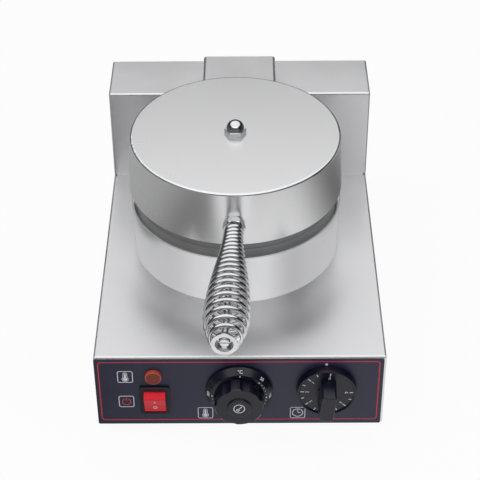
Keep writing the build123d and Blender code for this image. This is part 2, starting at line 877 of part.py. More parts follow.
def make_centre_stud():
    return rod(centre_stud_radius, upper_back - tap_depth, cover_top_z + centre_stud_proud, head_x, head_y)


def make_centre_nuts():
    bore = centre_stud_radius + thread_clearance
    lows = (upper_back + wool_at, arm_under - centre_nut_height)
    return [Pos(head_x, head_y, 0) * hexagon(centre_nut_flats, low, low + centre_nut_height, bore) for low in lows]


def make_centre_spacer():
    ring = rod(spacer_radius, arm_top, cover_ceiling, head_x, head_y)
    return ring - rod(centre_stud_radius + hole_clearance, arm_top - 1, cover_ceiling + 1, head_x, head_y)


# Domed cap nut in the middle of the cover's top
def make_centre_cap_nut():
    nut = extrude(RegularPolygon(centre_nut_corner, 6), amount=cap_nut_base)
    nut = chamfer(nut.faces().sort_by(Axis.Z)[-1].edges(), cap_nut_edge)
    dome = rod(cap_nut_radius, 0, cap_nut_height)
    nut += fillet(dome.edges().sort_by(Axis.Z)[-1], cap_nut_round)
    bore = rod(centre_stud_radius + thread_clearance, -1, centre_stud_proud + hole_clearance)
    return Pos(head_x, head_y, cover_top_z) * (nut - bore)


# Hinge: a bracket with two lugs on the tower, and a pin that the arm turns on
def make_hinge_bracket():
    half = bracket_width / 2
    base = block(-half, half, axis_y - bracket_front, axis_y + bracket_rear, tower_top, tower_top + bracket_base)
    bracket = base
    for side in (-1, 1):
        x0, x1 = sorted((side * half, side * (half - bracket_sheet)))
        lug = Pos((x0 + x1) / 2, axis_y, axis_z) * Rot(Y=90) * Cylinder(arm_ear, bracket_sheet)
        bracket += lug + block(x0, x1, axis_y - arm_ear, axis_y + bracket_rear, tower_top, axis_z)
    bracket -= Pos(0, axis_y, axis_z) * Rot(Y=90) * Cylinder(pin_radius + thread_clearance, bracket_width + 2)
    for x, y in bracket_screw_places:
        bracket -= rod(screw_radius + hole_clearance, tower_top - 1, tower_top + bracket_base + 1, x, y)
    return bracket - rod(grommet_hole, tower_top - 1, tower_top + bracket_base + 1, 0, axis_y - grommet_y)


# Inside the bracket's lugs, outwards: clip, washer, lug, washer, arm; the pin ends flush with the arm
lug_inside = bracket_width / 2 - bracket_sheet
pin_washer_at = lug_inside - pin_play - pin_washer
clip_at = pin_washer_at - pin_play - clip_width


def across(side):
    """Place on the hinge axis whose own Z points out to one side."""
    return Pos(0, axis_y, axis_z) * Rot(Y=90 * side)


def make_hinge_pin():
    groove = turned([
        (clip_groove, clip_at - thread_clearance), (pin_radius + 1, clip_at - thread_clearance),
        (pin_radius + 1, clip_at + clip_width + thread_clearance),
        (clip_groove, clip_at + clip_width + thread_clearance),
    ])
    pin = across(1) * Cylinder(pin_radius, arm_width)
    for side in (-1, 1):
        pin -= across(side) * groove
    return pin


def make_hinge_washers():
    inner_at = bracket_width / 2 + pin_play
    washers = []
    for side in (-1, 1):
        for at in (inner_at, pin_washer_at):
            ring = rod(pin_washer_radius, at, at + pin_washer) - rod(pin_radius + pin_running, at - 1, at + 2)
            washers.append(across(side) * ring)
    return washers


# Spring clips in the pin's grooves, open to the front
def make_hinge_clips():
    ring = rod(clip_radius, clip_at, clip_at + clip_width)
    ring -= rod(clip_groove + thread_clearance, clip_at - 1, clip_at + clip_width + 1)
    mouth = block(-clip_mouth / 2, clip_mouth / 2, -clip_radius - 1, 0, clip_at - 1, clip_at + clip_width + 1)
    return [across(side) * (ring - mouth) for side in (-1, 1)]


# Rubber grommet for the upper head's leads, through bracket and tower top
def make_lead_grommet():
    low = tower_top - sheet
    high = tower_top + bracket_base
    lip = grommet_hole + grommet_lip
    groove = grommet_hole - grommet_gap
    ring = turned([
        (grommet_bore, low - grommet_lip), (lip, low - grommet_lip), (lip, low), (groove, low),
        (groove, high), (lip, high), (lip, high + grommet_lip), (grommet_bore, high + grommet_lip),
    ])
    return Pos(0, axis_y - grommet_y, 0) * ring


# Handle: a nut on the wall, a swelling coil of wire, a dished washer and one long bolt
def make_handle_nut():
    near = seat_radius + handle_seat
    return handle_place * hexagon(handle_nut_flats, near, near + handle_nut_height, rod_radius + hole_clearance)


def coil_radius(t):
    """Radius of the wire's centre line at a share t of the coil's length."""
    if t < coil_belly_at:
        swell = math.sin(math.pi / 2 * t / coil_belly_at) ** coil_swell_power
        return coil_base_radius + (coil_belly_radius - coil_base_radius) * swell
    close = math.cos(math.pi / 2 * (t - coil_belly_at) / (1 - coil_belly_at))
    return coil_tip_radius + (coil_belly_radius - coil_tip_radius) * close


def coil_pitch(t):
    """Length of one turn along the handle before the turns are made to fit."""
    return coil_pitch_plain + coil_pitch_share * coil_radius(t)


def coil_stations():
    """Place and heading of the wire's centre line at every half turn."""
    slices = 4000
    plain = sum(coil_length / coil_pitch((i + 0.5) / slices) for i in range(slices)) / slices
    stretch = plain / coil_turns / coil_length
    steps = 200
    tiny = 1e-5
    t = 0.0
    stations = []
    for half in range(2 * coil_turns + 1):
        angle = math.pi * half
        near = min(t, 1 - tiny)
        slope = (coil_radius(near + tiny) - coil_radius(near)) / tiny
        advance = coil_pitch(near) * stretch
        out = Vector(math.cos(angle), math.sin(angle), 0)
        around = Vector(-math.sin(angle), math.cos(angle), 0)
        place = out * coil_radius(near) + Vector(0, 0, coil_start + coil_length * t)
        heading = out * (slope * advance) + around * (2 * math.pi * coil_radius(near))
        heading += Vector(0, 0, coil_length * advance)
        stations.append((place, heading.normalized()))
        for _ in range(steps):
            middle = t + coil_pitch(t) * stretch / steps / 4
            t += coil_pitch(min(middle, 1)) * stretch / steps / 2
    return stations


def biarc(first, second):
    """Two tangent arcs from one place and heading to the next."""
    (p0, t0), (p1, t1) = first, second
    chord = p1 - p0
    along = chord.dot(t0 + t1)
    lean = 2 * (1 - t0.dot(t1))
    arm = (math.sqrt(along ** 2 + lean * chord.dot(chord)) - along) / lean
    q0 = p0 + t0 * arm
    q1 = p1 - t1 * arm
    middle = (q0 + q1) * 0.5
    heading = (q1 - q0).normalized()
    return [Edge.make_tangent_arc(p0, t0, middle), Edge.make_tangent_arc(middle, heading, p1)]


def coil_path():
    """Centre line of the wire: biarcs with a straight end of one wire diameter at each side."""
    stations = coil_stations()
    (p0, t0), (p1, t1) = stations[0], stations[-1]
    straight = 2 * wire_radius
    edges = [Edge.make_line(p0 - t0 * straight, p0)]
    for first, second in zip(stations, stations[1:]):
        edges += biarc(first, second)
    edges.append(Edge.make_line(p1, p1 + t1 * straight))
    return edges


def least_gap(edges):
    """Least gap between stretches of the wire that lie half a turn or more apart."""
    points = []
    for edge in edges:
        points += [edge @ (i / 12) for i in range(12)]
    apart = 24
    least = min(
        (points[i] - points[j]).length
        for i in range(len(points))
        for j in range(i + apart, min(i + 5 * apart, len(points)))
    )
    return least - 2 * wire_radius


def make_handle_coil():
    edges = coil_path()
    print("Coil's least gap to itself:", round(least_gap(edges), 2), "mm")
    section = Plane(origin=edges[0] @ 0, z_dir=edges[0] % 0) * Circle(wire_radius)
    return handle_place * sweep(section, path=Wire(edges))


cup_front = handle_tip
cup_floor = cup_front - cup_depth


def make_handle_cup():
    cup = turned([
        (rod_radius + hole_clearance, cup_floor - cup_wall), (cup_radius, cup_floor - cup_wall),
        (cup_radius, cup_front - cup_wall), (cup_rim_radius, cup_front - cup_wall),
        (cup_rim_radius, cup_front), (cup_radius - cup_wall, cup_front),
        (cup_radius - cup_wall, cup_floor), (rod_radius + hole_clearance, cup_floor),
    ])
    return handle_place * cup


def make_handle_bolt():
    screw = Pos(0, 0, cup_floor) * pan_screw(cup_floor - cover_radius + rod_tail, rod_radius,
                                             bolt_head_radius, bolt_head_height)
    return handle_place * screw


inner_wall = seat_radius - sheet
inner_washer_face = math.sqrt(inner_wall ** 2 - (inner_washer_radius + handle_side) ** 2) - thread_clearance


def make_handle_washer():
    near = inner_washer_face - inner_washer
    ring = rod(inner_washer_radius, near, inner_washer_face)
    return handle_place * (ring - rod(rod_radius + hole_clearance, near - 1, inner_washer_face + 1))


# Thermostat: body behind the wall with a bush through it, a fixed dial, and a lobed knob on a spindle
def switchgear(width, height, depth):
    """Housing behind the front wall with a bored bush and two tapped holes, out along Z."""
    body = block(-width / 2, width / 2, -height / 2, height / 2, -depth, 0)
    body = fillet(body.edges().filter_by(Axis.Z), 3.0)
    body += rod(bush_radius, -1, front_inside + bush_proud)
    body -= rod(spindle_radius + pin_running, -spindle_inside - 0.5, front_inside + bush_proud + 1)
    for dx in fixing_x:
        body -= rod(fixing_radius + thread_clearance, -fixing_bite, 1, dx)
    return body


spindle_inside = 14.0
fixing_bite = 7.0
socket_end = bush_proud + knob_gap + knob_socket


def make_spindle(x, z):
    return forward(x, 0, z) * rod(spindle_radius, -front_inside - spindle_inside, socket_end)


def make_thermostat_body():
    body = switchgear(thermostat_width, thermostat_height, thermostat_depth)
    for x in (-blade_spacing, blade_spacing):
        body += block(x - blade_sheet / 2, x + blade_sheet / 2, -thermostat_height / 2 + 4,
                      -thermostat_height / 2 + 4 + blade_width, -thermostat_depth - blade_length, -thermostat_depth + 1)
    return forward(thermostat_x, front_inside, thermostat_z) * body


def make_thermostat_dial():
    inner = grip_boss_radius + grip_boss_gap
    floor = knob_hollow - dial_floor
    dial = turned([
        (inner, floor), (knob_hollow_radius, floor), (knob_hollow_radius, 0), (dial_radius, 0),
        (dial_radius, dial_edge), (dial_radius - dial_bevel, dial_shoulder), (dial_opening, dial_rise),
        (dial_opening, knob_hollow), (inner, knob_hollow),
    ])
    return forward(thermostat_x, 0, thermostat_z) * dial


def make_thermostat_knob():
    low = knob_hollow + knob_gap
    grip = rod(grip_radius, low, grip_front)
    grip = chamfer(grip.edges().sort_by(Axis.Z)[-1], grip_chamfer)
    for i in range(grip_lobes):
        a = math.radians(grip_first_scallop + 360 / grip_lobes * i)
        grip -= rod(grip_scallop_radius, low + grip_flange, grip_front + 1,
                    grip_scallop_centre * math.sin(a), grip_scallop_centre * math.cos(a))
    grip += rod(grip_boss_radius, bush_proud + knob_gap, low + 1)
    grip -= rod(cap_radius + cap_gap, grip_front - cap_recess, grip_front + 1)
    grip -= rod(spindle_radius + thread_clearance, 0, socket_end + cap_gap)
    return forward(thermostat_x, 0, thermostat_z) * grip


def make_thermostat_cap():
    base = grip_front - cap_recess
    cap = rod(cap_radius, base, base + cap_height)
    cap = fillet(cap.edges().sort_by(Axis.Z)[-1], cap_round)
    return forward(thermostat_x, 0, thermostat_z) * cap


# Timer: clockwork body with its bell at the back, and a dished knob with a bar to grip
def make_timer_body():
    body = switchgear(timer_side, timer_side, timer_depth)
    body += rod(bell_post, -timer_depth - bell_height + bell_wall, -timer_depth + 1)
    return forward(timer_x, front_inside, timer_z) * body


def make_timer_bell():
    far = -timer_depth - bell_height
    bell = rod(bell_radius, far, far + bell_height - 1)
    bell = fillet(bell.edges().sort_by(Axis.Z)[0], bell_height * 0.5)
    hollow = rod(bell_radius - bell_wall, far + bell_wall, far + bell_height)
    hollow = fillet(hollow.edges().sort_by(Axis.Z)[0], bell_height * 0.5 - bell_wall)
    bell -= hollow
    bell += rod(bell_post + bell_wall, far, far + bell_height - 1)
    return forward(timer_x, front_inside, timer_z) * (bell - rod(bell_post + thread_clearance, far + bell_wall, 0))


def make_timer_knob():
    low = knob_gap
    high = low + timer_rim
    inside = timer_rim_radius - timer_lip
    knob = turned([
        (0, low + knob_hollow), (knob_hollow_radius, low + knob_hollow), (knob_hollow_radius, low),
        (timer_base_radius, low), (timer_rim_radius, high), (inside, high),
        (inside - timer_dish, high - timer_dish), (0, high - timer_dish),
    ])
    bar = Pos(0, 0, high - timer_dish - 1) * extrude(
        RectangleRounded(timer_bar_width, timer_bar_length, timer_bar_corner),
        amount=timer_bar_front - high + timer_dish + 1, taper=1.5)
    bar = fillet(bar.faces().sort_by(Axis.Z)[-1].edges(), 1.0)
    knob += bar + rod(grip_boss_radius, bush_proud + knob_gap, high)
    knob -= rod(spindle_radius + thread_clearance, 0, socket_end + cap_gap)
    return forward(timer_x, 0, timer_z) * Rot(Z=-timer_set) * knob


def make_panel_screws():
    places = [(thermostat_x + dx, thermostat_z) for dx in fixing_x]
    places += [(timer_x + dx, timer_z) for dx in fixing_x]
    screw = pan_screw(front_inside + fixing_bite - 1, fixing_radius, fixing_head_radius, fixing_head)
    return [forward(x, 0, z) * screw for x, z in places]


# Rocker switch: frame and housing in one, and a rocker on two trunnions
rocker_pivot = 1.5
switch_pivot = Pos(switch_x, rocker_pivot, switch_z - rocker_drop)
cavity_half_height = rocker_radius + rocker_end_gap
cavity_half_width = rocker_width / 2 + rocker_side_gap
cavity_back = rocker_pivot + 9.0


def make_switch_body():
    half_x = bezel_width / 2
    half_z = bezel_height / 2
    frame = block(-half_x, half_x, -bezel_proud, 0, -half_z, half_z)
    frame = fillet(frame.edges().filter_by(Axis.Y), bezel_corner)
    frame = chamfer(frame.faces().sort_by(Axis.Y)[0].edges(), 0.6)
    half_x = switch_body_width / 2
    half_z = switch_body_height / 2
    body = frame + block(-half_x, half_x, -0.5, front_inside + switch_depth, -half_z, half_z)
    body -= block(-cavity_half_width, cavity_half_width, -bezel_proud - 1, cavity_back,
                  -cavity_half_height - rocker_drop, cavity_half_height - rocker_drop)
    reach = rocker_width / 2 + trunnion_length + thread_clearance
    bearing = Rot(Y=90) * Cylinder(trunnion_radius + trunnion_running, 2 * reach)
    body -= Pos(0, rocker_pivot, -rocker_drop) * bearing
    back = front_inside + switch_depth
    for z in (-blade_spacing, 0, blade_spacing):
        body += block(-blade_width / 2, blade_width / 2, back - 0.5, back + blade_length,
                      z - blade_sheet / 2, z + blade_sheet / 2)
    return Pos(switch_x, 0, switch_z) * body


def rocker_point(angle, side):
    """Point on the rocker's round end: forward by an angle, above (1) or below (-1) its pivot."""
    return (-rocker_radius * math.sin(angle), side * rocker_radius * math.cos(angle))


def make_power_rocker():
    r = rocker_radius
    tip = math.radians(rocker_corner)
    heel = math.asin(rocker_back / r)
    middle = (tip - heel) / 2
    with BuildSketch(Plane.YZ) as profile:
        with BuildLine():
            ThreePointArc(rocker_point(tip, 1), rocker_point(middle, 1), rocker_point(-heel, 1))
            Line(rocker_point(-heel, 1), rocker_point(-heel, -1))
            ThreePointArc(rocker_point(-heel, -1), rocker_point(middle, -1), rocker_point(tip, -1))
            ThreePointArc(rocker_point(tip, -1), (-r * math.sin(tip) + rocker_hollow, 0), rocker_point(tip, 1))
        make_face()
    rocker = extrude(profile.sketch, amount=rocker_width / 2, both=True)
    rocker += Rot(Y=90) * Cylinder(trunnion_radius, rocker_width + 2 * trunnion_length)
    return switch_pivot * Rot(X=rocker_tilt) * rocker


# Pilot lamp: a red lens on a long body that snaps into the wall
def make_lamp_lens():
    lens = rod(lens_radius, 0, lens_proud)
    lens = fillet(lens.edges().sort_by(Axis.Z)[-1], lens_dome)
    lens -= rod(lamp_radius + cap_gap, -1, lens_proud - lens_wall)
    return forward(lamp_x, 0, lamp_z) * lens


def make_lamp_body():
    body = rod(lamp_radius, -front_inside - lamp_depth, lens_proud - lens_wall - cap_gap)
    for x in (-blade_spacing / 3, blade_spacing / 3):
        body += block(x - blade_sheet / 2, x + blade_sheet / 2, -blade_sheet * 3, blade_sheet * 3,
                      -front_inside - lamp_depth - blade_length, -front_inside - lamp_depth + 1)
    return forward(lamp_x, 0, lamp_z) * body


# Cable inlet in the rear cover: body, clamping cap, rubber seal and locknut
seal_radius = gland_bore + 1.8
neck_radius = seal_radius + 1.4


def make_cable_gland():
    gland = hexagon(gland_flats, 0, gland_flange)
    gland += rod(gland_thread, -cover_sheet - gland_inner, 1)
    gland += rod(neck_radius, gland_flange - 1, gland_flange + gland_cap - gland_nose - gland_gap)
    gland -= rod(seal_radius, gland_flange, gland_rear)
    gland -= rod(gland_bore, -cover_sheet - gland_inner - 1, gland_flange + 1)
    return backward(gland_x, body_depth, gland_z) * gland


def make_gland_cap():
    cap = hexagon(gland_cap_flats, gland_flange, gland_flange + gland_cap)
    cap -= rod(neck_radius + thread_clearance, gland_flange - 1, gland_flange + gland_cap - gland_nose)
    cap -= rod(gland_bore, 0, gland_rear)
    return backward(gland_x, body_depth, gland_z) * cap


def make_gland_seal():
    end = gland_flange + gland_cap - gland_nose
    ring = rod(seal_radius - thread_clearance, gland_flange, end) - rod(gland_bore, 0, gland_rear)
    return backward(gland_x, body_depth, gland_z) * ring


def make_gland_locknut():
    nut = hexagon(gland_flats, -cover_sheet - gland_nut_height, -cover_sheet, gland_thread + thread_clearance)
    return backward(gland_x, body_depth, gland_z) * nut


def make_terminal_block():
    half = terminal_length / 2
    deep = terminal_width / 2
    body = block(-half, half, -deep, deep, 0, terminal_height)
    body = chamfer(body.edges().filter_by(Axis.X).group_by(Axis.Z)[-1], 2.5)
    pitch = terminal_length / terminal_poles
    for pole in range(terminal_poles):
        x = -half + pitch * (pole + 0.5)
        body -= Pos(x, 0, terminal_height * 0.45) * Rot(X=90) * Cylinder(terminal_bore, terminal_width + 2)
        for y in (-deep / 2, deep / 2):
            body -= rod(terminal_bore * 0.8, terminal_height * 0.45, terminal_height + 1, x, y)
    for pole in range(1, terminal_poles):
        x = -half + pitch * pole
        body -= block(x - 0.8, x + 0.8, -deep - 1, deep + 1, terminal_height * 0.75, terminal_height + 1)
    return Pos(terminal_x, terminal_y, 0) * body


# Feeler of the thermostat under the lower plate, and its thin tube down to the thermostat
def make_thermostat_bulb():
    z = lower_back - bulb_gap - bulb_radius
    y = head_y - bulb_y
    end = head_x + bulb_length / 2
    outer = head_x + capillary_x
    inner = head_x + capillary_inner_x
    under = lower_back - shield_at - shield_sheet - capillary_clearance
    low = thermostat_z + capillary_above_axis
    bulb = Pos(head_x, y, z) * Rot(Y=90) * Cylinder(bulb_radius, bulb_length)
    bulb = chamfer(bulb.edges(), bulb_radius / 3)
    route = [
        (end - 1, y, z), (outer, y, z), (outer, y, under), (inner, y, under),
        (inner, y, low), (inner, front_inside + thermostat_depth, low),
    ]
    return bulb + tube_along(route, capillary_radius, capillary_bend)


nodes = {
    "body_shell": make_body_shell(),
    "control_panel": make_control_panel(),
    "rear_tower": make_rear_tower(),
    "rear_cover": make_rear_cover(),
    "base_plate": make_base_plate(),
    "rubber_feet": make_rubber_feet(),
    "foot_screws": make_foot_screws(),
    "casing_screws": make_casing_screws(),
    "casing_nuts": make_casing_nuts(),
    "lower_drum": make_lower_drum(),
    "lower_plate": make_lower_plate(),
    "lower_element": make_lower_element(),
    "lower_press_plate": make_lower_press_plate(),
    "lower_insulation": make_lower_insulation(),
    "lower_heat_shield": make_lower_heat_shield(),
    "lower_tie_rods": make_lower_ties(),
    "lower_nuts": make_lower_nuts(),
    "thermal_cutout": make_thermal_cutout(),
    "thermostat_bulb": make_thermostat_bulb(),
    "upper_plate": make_upper_plate(),
    "upper_element": make_upper_element(),
    "upper_press_plate": make_upper_press_plate(),
    "upper_insulation": make_upper_insulation(),
    "upper_tie_rods": make_upper_ties(),
    "upper_nuts": make_upper_nuts(),
    "lid_cover": make_lid_cover(),
    "lid_arm": make_lid_arm(),
    "centre_stud": make_centre_stud(),
    "centre_nuts": make_centre_nuts(),
    "centre_spacer": make_centre_spacer(),
    "centre_cap_nut": make_centre_cap_nut(),
    "hinge_bracket": make_hinge_bracket(),
    "hinge_pin": make_hinge_pin(),
    "hinge_washers": make_hinge_washers(),
    "hinge_clips": make_hinge_clips(),
    "lead_grommet": make_lead_grommet(),
    "handle_nut": make_handle_nut(),
    "handle_coil": make_handle_coil(),
    "handle_cup": make_handle_cup(),
    "handle_bolt": make_handle_bolt(),
    "handle_washer": make_handle_washer(),
    "thermostat_body": make_thermostat_body(),
    "thermostat_dial": make_thermostat_dial(),
    "thermostat_spindle": make_spindle(thermostat_x, thermostat_z),
    "thermostat_knob": make_thermostat_knob(),
    "thermostat_cap": make_thermostat_cap(),
    "timer_body": make_timer_body(),
    "timer_bell": make_timer_bell(),
    "timer_spindle": make_spindle(timer_x, timer_z),
    "timer_knob": make_timer_knob(),
    "panel_screws": make_panel_screws(),
    "switch_body": make_switch_body(),
    "power_rocker": make_power_rocker(),
    "lamp_lens": make_lamp_lens(),
    "lamp_body": make_lamp_body(),
    "cable_gland": make_cable_gland(),
    "gland_cap": make_gland_cap(),
    "gland_seal": make_gland_seal(),
    "gland_locknut": make_gland_locknut(),
    "terminal_block": make_terminal_block(),
}

# The part's own frame stands on its feet, with the middle of its box over the origin
front_most = nodes["handle_cup"].bounding_box().min.Y
rear_most = nodes["gland_cap"].bounding_box().max.Y
shift = Pos(0, -(front_most + rear_most) / 2, -foot_bottom)


def placed(shape):
    """The same solids in the part's own frame, as one shape."""
    if isinstance(shape, list):
        return Compound(children=[shift * one for one in shape])
    return shift * shape


def show_point(name, x, y, z):
    """Print a place in the part's own frame, in millimetres."""
    print(name, [round(value, 3) for value in (shift * Pos(x, y, z)).position])


os.makedirs("parts", exist_ok=True)
for name, shape in nodes.items():
    export_step(placed(shape), os.path.join("parts", name + ".step"))

show_point("Hinge axis", 0, axis_y, axis_z)
show_point("Rocker axis", switch_x, rocker_pivot, switch_z - rocker_drop)
show_point("Thermostat axis", thermostat_x, 0, thermostat_z)
show_point("Timer axis", timer_x, 0, timer_z)
show_point("Lower plate's rim", head_x, head_y, lower_face)
show_point("Foot", foot_places[0][0], foot_places[0][1], foot_bottom)
show_point("Cable inlet", gland_x, gland_rear, gland_z)
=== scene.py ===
import bmesh
import bpy
import json
import math
from mathutils import Matrix, Vector


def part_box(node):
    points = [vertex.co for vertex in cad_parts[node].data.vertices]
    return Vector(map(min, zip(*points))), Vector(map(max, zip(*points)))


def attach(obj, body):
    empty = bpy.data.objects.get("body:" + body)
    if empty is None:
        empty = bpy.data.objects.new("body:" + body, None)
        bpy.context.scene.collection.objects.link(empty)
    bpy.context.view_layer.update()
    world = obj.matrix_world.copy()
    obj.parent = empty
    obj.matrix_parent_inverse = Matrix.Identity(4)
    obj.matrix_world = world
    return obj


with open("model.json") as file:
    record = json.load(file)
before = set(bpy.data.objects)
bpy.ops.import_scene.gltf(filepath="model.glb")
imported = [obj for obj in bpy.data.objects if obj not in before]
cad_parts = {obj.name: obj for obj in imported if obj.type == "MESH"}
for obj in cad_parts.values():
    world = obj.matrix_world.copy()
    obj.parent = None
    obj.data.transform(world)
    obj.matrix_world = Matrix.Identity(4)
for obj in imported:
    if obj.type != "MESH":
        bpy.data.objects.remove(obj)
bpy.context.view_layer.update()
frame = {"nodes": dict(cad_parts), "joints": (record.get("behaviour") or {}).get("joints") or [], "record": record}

# Round waffle maker: materials, printed marks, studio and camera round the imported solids.
# Lengths are in metres; MM turns millimetres into metres.
MM = 0.001
nodes = frame["nodes"]


def middle(low, high):
    """Middle between two corners."""
    return (Vector(low) + Vector(high)) / 2


def joint_place(name):
    """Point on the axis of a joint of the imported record."""
    return Vector(next(j for j in frame["joints"] if j["name"] == name)["pos_m"])


# Places that finishes and marks are measured from
FACE_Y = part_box("control_panel")[0][1]
BODY_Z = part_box("body_shell")[0][2]
DRUM_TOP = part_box("lower_drum")[1][2]
plate_middle = middle(*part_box("lower_plate"))

# Radii between which the plate's dark field turns into its bare rim
RIM_START, RIM_END = 80.5 * MM, 81.5 * MM
# Slope by which the steel's normals lean outward below the drum's top
DRUM_LEAN = 0.065


# Shader helpers

def new_material(name):
    """Empty node material: (material, node tree, its Principled shader)."""
    material = bpy.data.materials.new(name)
    material.use_nodes = True
    tree = material.node_tree
    return material, tree, tree.nodes["Principled BSDF"]


def add_node(tree, kind, **values):
    """Node of a kind with input values by socket name or attributes by their own name."""
    node = tree.nodes.new(kind)
    for key, value in values.items():
        if hasattr(node, key):
            setattr(node, key, value)
        else:
            node.inputs[key.replace("_", " ")].default_value = value
    return node


def object_space(tree, scale=(1, 1, 1)):
    """Object coordinates in metres, scaled."""
    place = add_node(tree, "ShaderNodeTexCoord")
    mapping = add_node(tree, "ShaderNodeMapping", Scale=scale)
    tree.links.new(place.outputs["Object"], mapping.inputs["Vector"])
    return mapping.outputs["Vector"]


def noise(tree, vector, scale, detail=2.0, rough=0.5):
    """Noise value between 0 and 1."""
    node = add_node(tree, "ShaderNodeTexNoise", Scale=scale, Detail=detail, Roughness=rough)
    tree.links.new(vector, node.inputs["Vector"])
    return node.outputs["Fac"]


def spread(tree, value, low, high, start=0.3, end=0.7):
    """Value mapped smoothly from start..end to low..high."""
    node = add_node(tree, "ShaderNodeMapRange", interpolation_type="SMOOTHSTEP")
    node.inputs["From Min"].default_value = start
    node.inputs["From Max"].default_value = end
    node.inputs["To Min"].default_value = low
    node.inputs["To Max"].default_value = high
    tree.links.new(value, node.inputs["Value"])
    return node.outputs["Result"]


def combine(tree, operation, first, second, third=None):
    """Math node over sockets and numbers."""
    node = add_node(tree, "ShaderNodeMath", operation=operation)
    for slot, value in enumerate((first, second, third)):
        if isinstance(value, (int, float)):
            node.inputs[slot].default_value = value
        elif value is not None:
            tree.links.new(value, node.inputs[slot])
    return node.outputs[0]


def distance_from(tree, vector, point):
    """Distance of a position from a point."""
    node = add_node(tree, "ShaderNodeVectorMath", operation="DISTANCE")
    tree.links.new(vector, node.inputs[0])
    node.inputs[1].default_value = point
    return node.outputs["Value"]


def tint(tree, value, dark, light):
    """Colour between two colours by a value from 0 to 1."""
    ramp = add_node(tree, "ShaderNodeValToRGB")
    ramp.color_ramp.elements[0].color = (*dark, 1)
    ramp.color_ramp.elements[1].color = (*light, 1)
    tree.links.new(value, ramp.inputs["Fac"])
    return ramp.outputs["Color"]


def shaded(colour, share):
    """The colour at a share of its brightness."""
    return tuple(c * share for c in colour)


def blend(tree, share, first, second):
    """Colour socket between two others by a share from 0 to 1."""
    node = add_node(tree, "ShaderNodeMix", data_type="RGBA")
    tree.links.new(share, node.inputs[0])
    tree.links.new(first, node.inputs[6])
    tree.links.new(second, node.inputs[7])
    return node.outputs[2]


def mixed(tree, share, first, second):
    """Shader socket between two others."""
    mix = add_node(tree, "ShaderNodeMixShader")
    tree.links.new(share, mix.inputs[0])
    tree.links.new(first, mix.inputs[1])
    tree.links.new(second, mix.inputs[2])
    return mix.outputs[0]


def bump(tree, shader, value, strength, distance, below=None):
    """Bump from a value, over an earlier bump where one is given."""
    node = add_node(tree, "ShaderNodeBump", Strength=strength, Distance=distance)
    tree.links.new(value, node.inputs["Height"])
    if below is not None:
        tree.links.new(below, node.inputs["Normal"])
    tree.links.new(node.outputs["Normal"], shader.inputs["Normal"])
    return node.outputs["Normal"]


# Materials

def brushed_steel(name, dark, light, rough, grain, lean=0.0):
    """Rolled stainless sheet: fine grain stretched along one axis, and broad cloudy smears.
    A lean turns the normals of walls below the drum's top by a small slope."""
    material, tree, shader = new_material(name)
    shader.inputs["Metallic"].default_value = 1.0
    fine = noise(tree, object_space(tree, grain), 1.0, detail=3.0, rough=0.6)
    cloud = noise(tree, object_space(tree), 9.0, detail=3.0, rough=0.55)
    tree.links.new(tint(tree, spread(tree, cloud, 0, 1), dark, light), shader.inputs["Base Color"])
    smear = spread(tree, cloud, rough * 0.85, rough * 1.15)
    tree.links.new(combine(tree, "MULTIPLY_ADD", fine, 0.05, smear), shader.inputs["Roughness"])
    normal = bump(tree, shader, fine, strength=0.035, distance=0.05 * MM)
    if lean:
        height = add_node(tree, "ShaderNodeSeparateXYZ")
        tree.links.new(object_space(tree), height.inputs[0])
        below_top = combine(tree, "MINIMUM", height.outputs["Z"], DRUM_TOP)
        slope = combine(tree, "MULTIPLY", below_top, lean)
        bump(tree, shader, slope, strength=1.0, distance=1.0, below=normal)
    return material


def plated(name, colour, rough, speck=900.0, strength=0.05):
    """Plated or machined metal with a slightly uneven gloss."""
    material, tree, shader = new_material(name)
    shader.inputs["Metallic"].default_value = 1.0
    space = object_space(tree)
    cloud = noise(tree, space, 120.0, detail=3.0)
    colours = tint(tree, spread(tree, cloud, 0, 1), shaded(colour, 0.86), colour)
    tree.links.new(colours, shader.inputs["Base Color"])
    tree.links.new(spread(tree, cloud, rough * 0.7, rough * 1.4), shader.inputs["Roughness"])
    bump(tree, shader, noise(tree, space, speck), strength, distance=0.03 * MM)
    return material


def moulded(name, colour, rough, grain=1500.0, strength=0.25, shine=0.5):
    """Moulded plastic or rubber: fine spark-eroded grain and a faint change of tone."""
    material, tree, shader = new_material(name)
    space = object_space(tree)
    cloud = noise(tree, space, 60.0, detail=3.0)
    colours = tint(tree, spread(tree, cloud, 0, 1), shaded(colour, 0.8), colour)
    tree.links.new(colours, shader.inputs["Base Color"])
    tree.links.new(spread(tree, cloud, rough * 0.88, rough * 1.12), shader.inputs["Roughness"])
    shader.inputs["Specular IOR Level"].default_value = shine
    bump(tree, shader, noise(tree, space, grain, detail=3.0), strength, distance=0.04 * MM)
    return material


def printed(name, colour):
    """Printed ink with a slightly uneven tone."""
    material, tree, shader = new_material(name)
    cloud = noise(tree, object_space(tree), 400.0)
    tree.links.new(tint(tree, cloud, shaded(colour, 0.9), colour), shader.inputs["Base Color"])
    shader.inputs["Roughness"].default_value = 0.45
    return material


def wool(name, colour):
    """Matte mineral wool with tangled fibres."""
    material, tree, shader = new_material(name)
    fibre = noise(tree, object_space(tree, (1, 1, 4)), 380.0, detail=6.0, rough=0.75)
    tree.links.new(tint(tree, fibre, shaded(colour, 0.6), colour), shader.inputs["Base Color"])
    shader.inputs["Roughness"].default_value = 0.95
    bump(tree, shader, fibre, strength=0.8, distance=0.6 * MM)
    return material


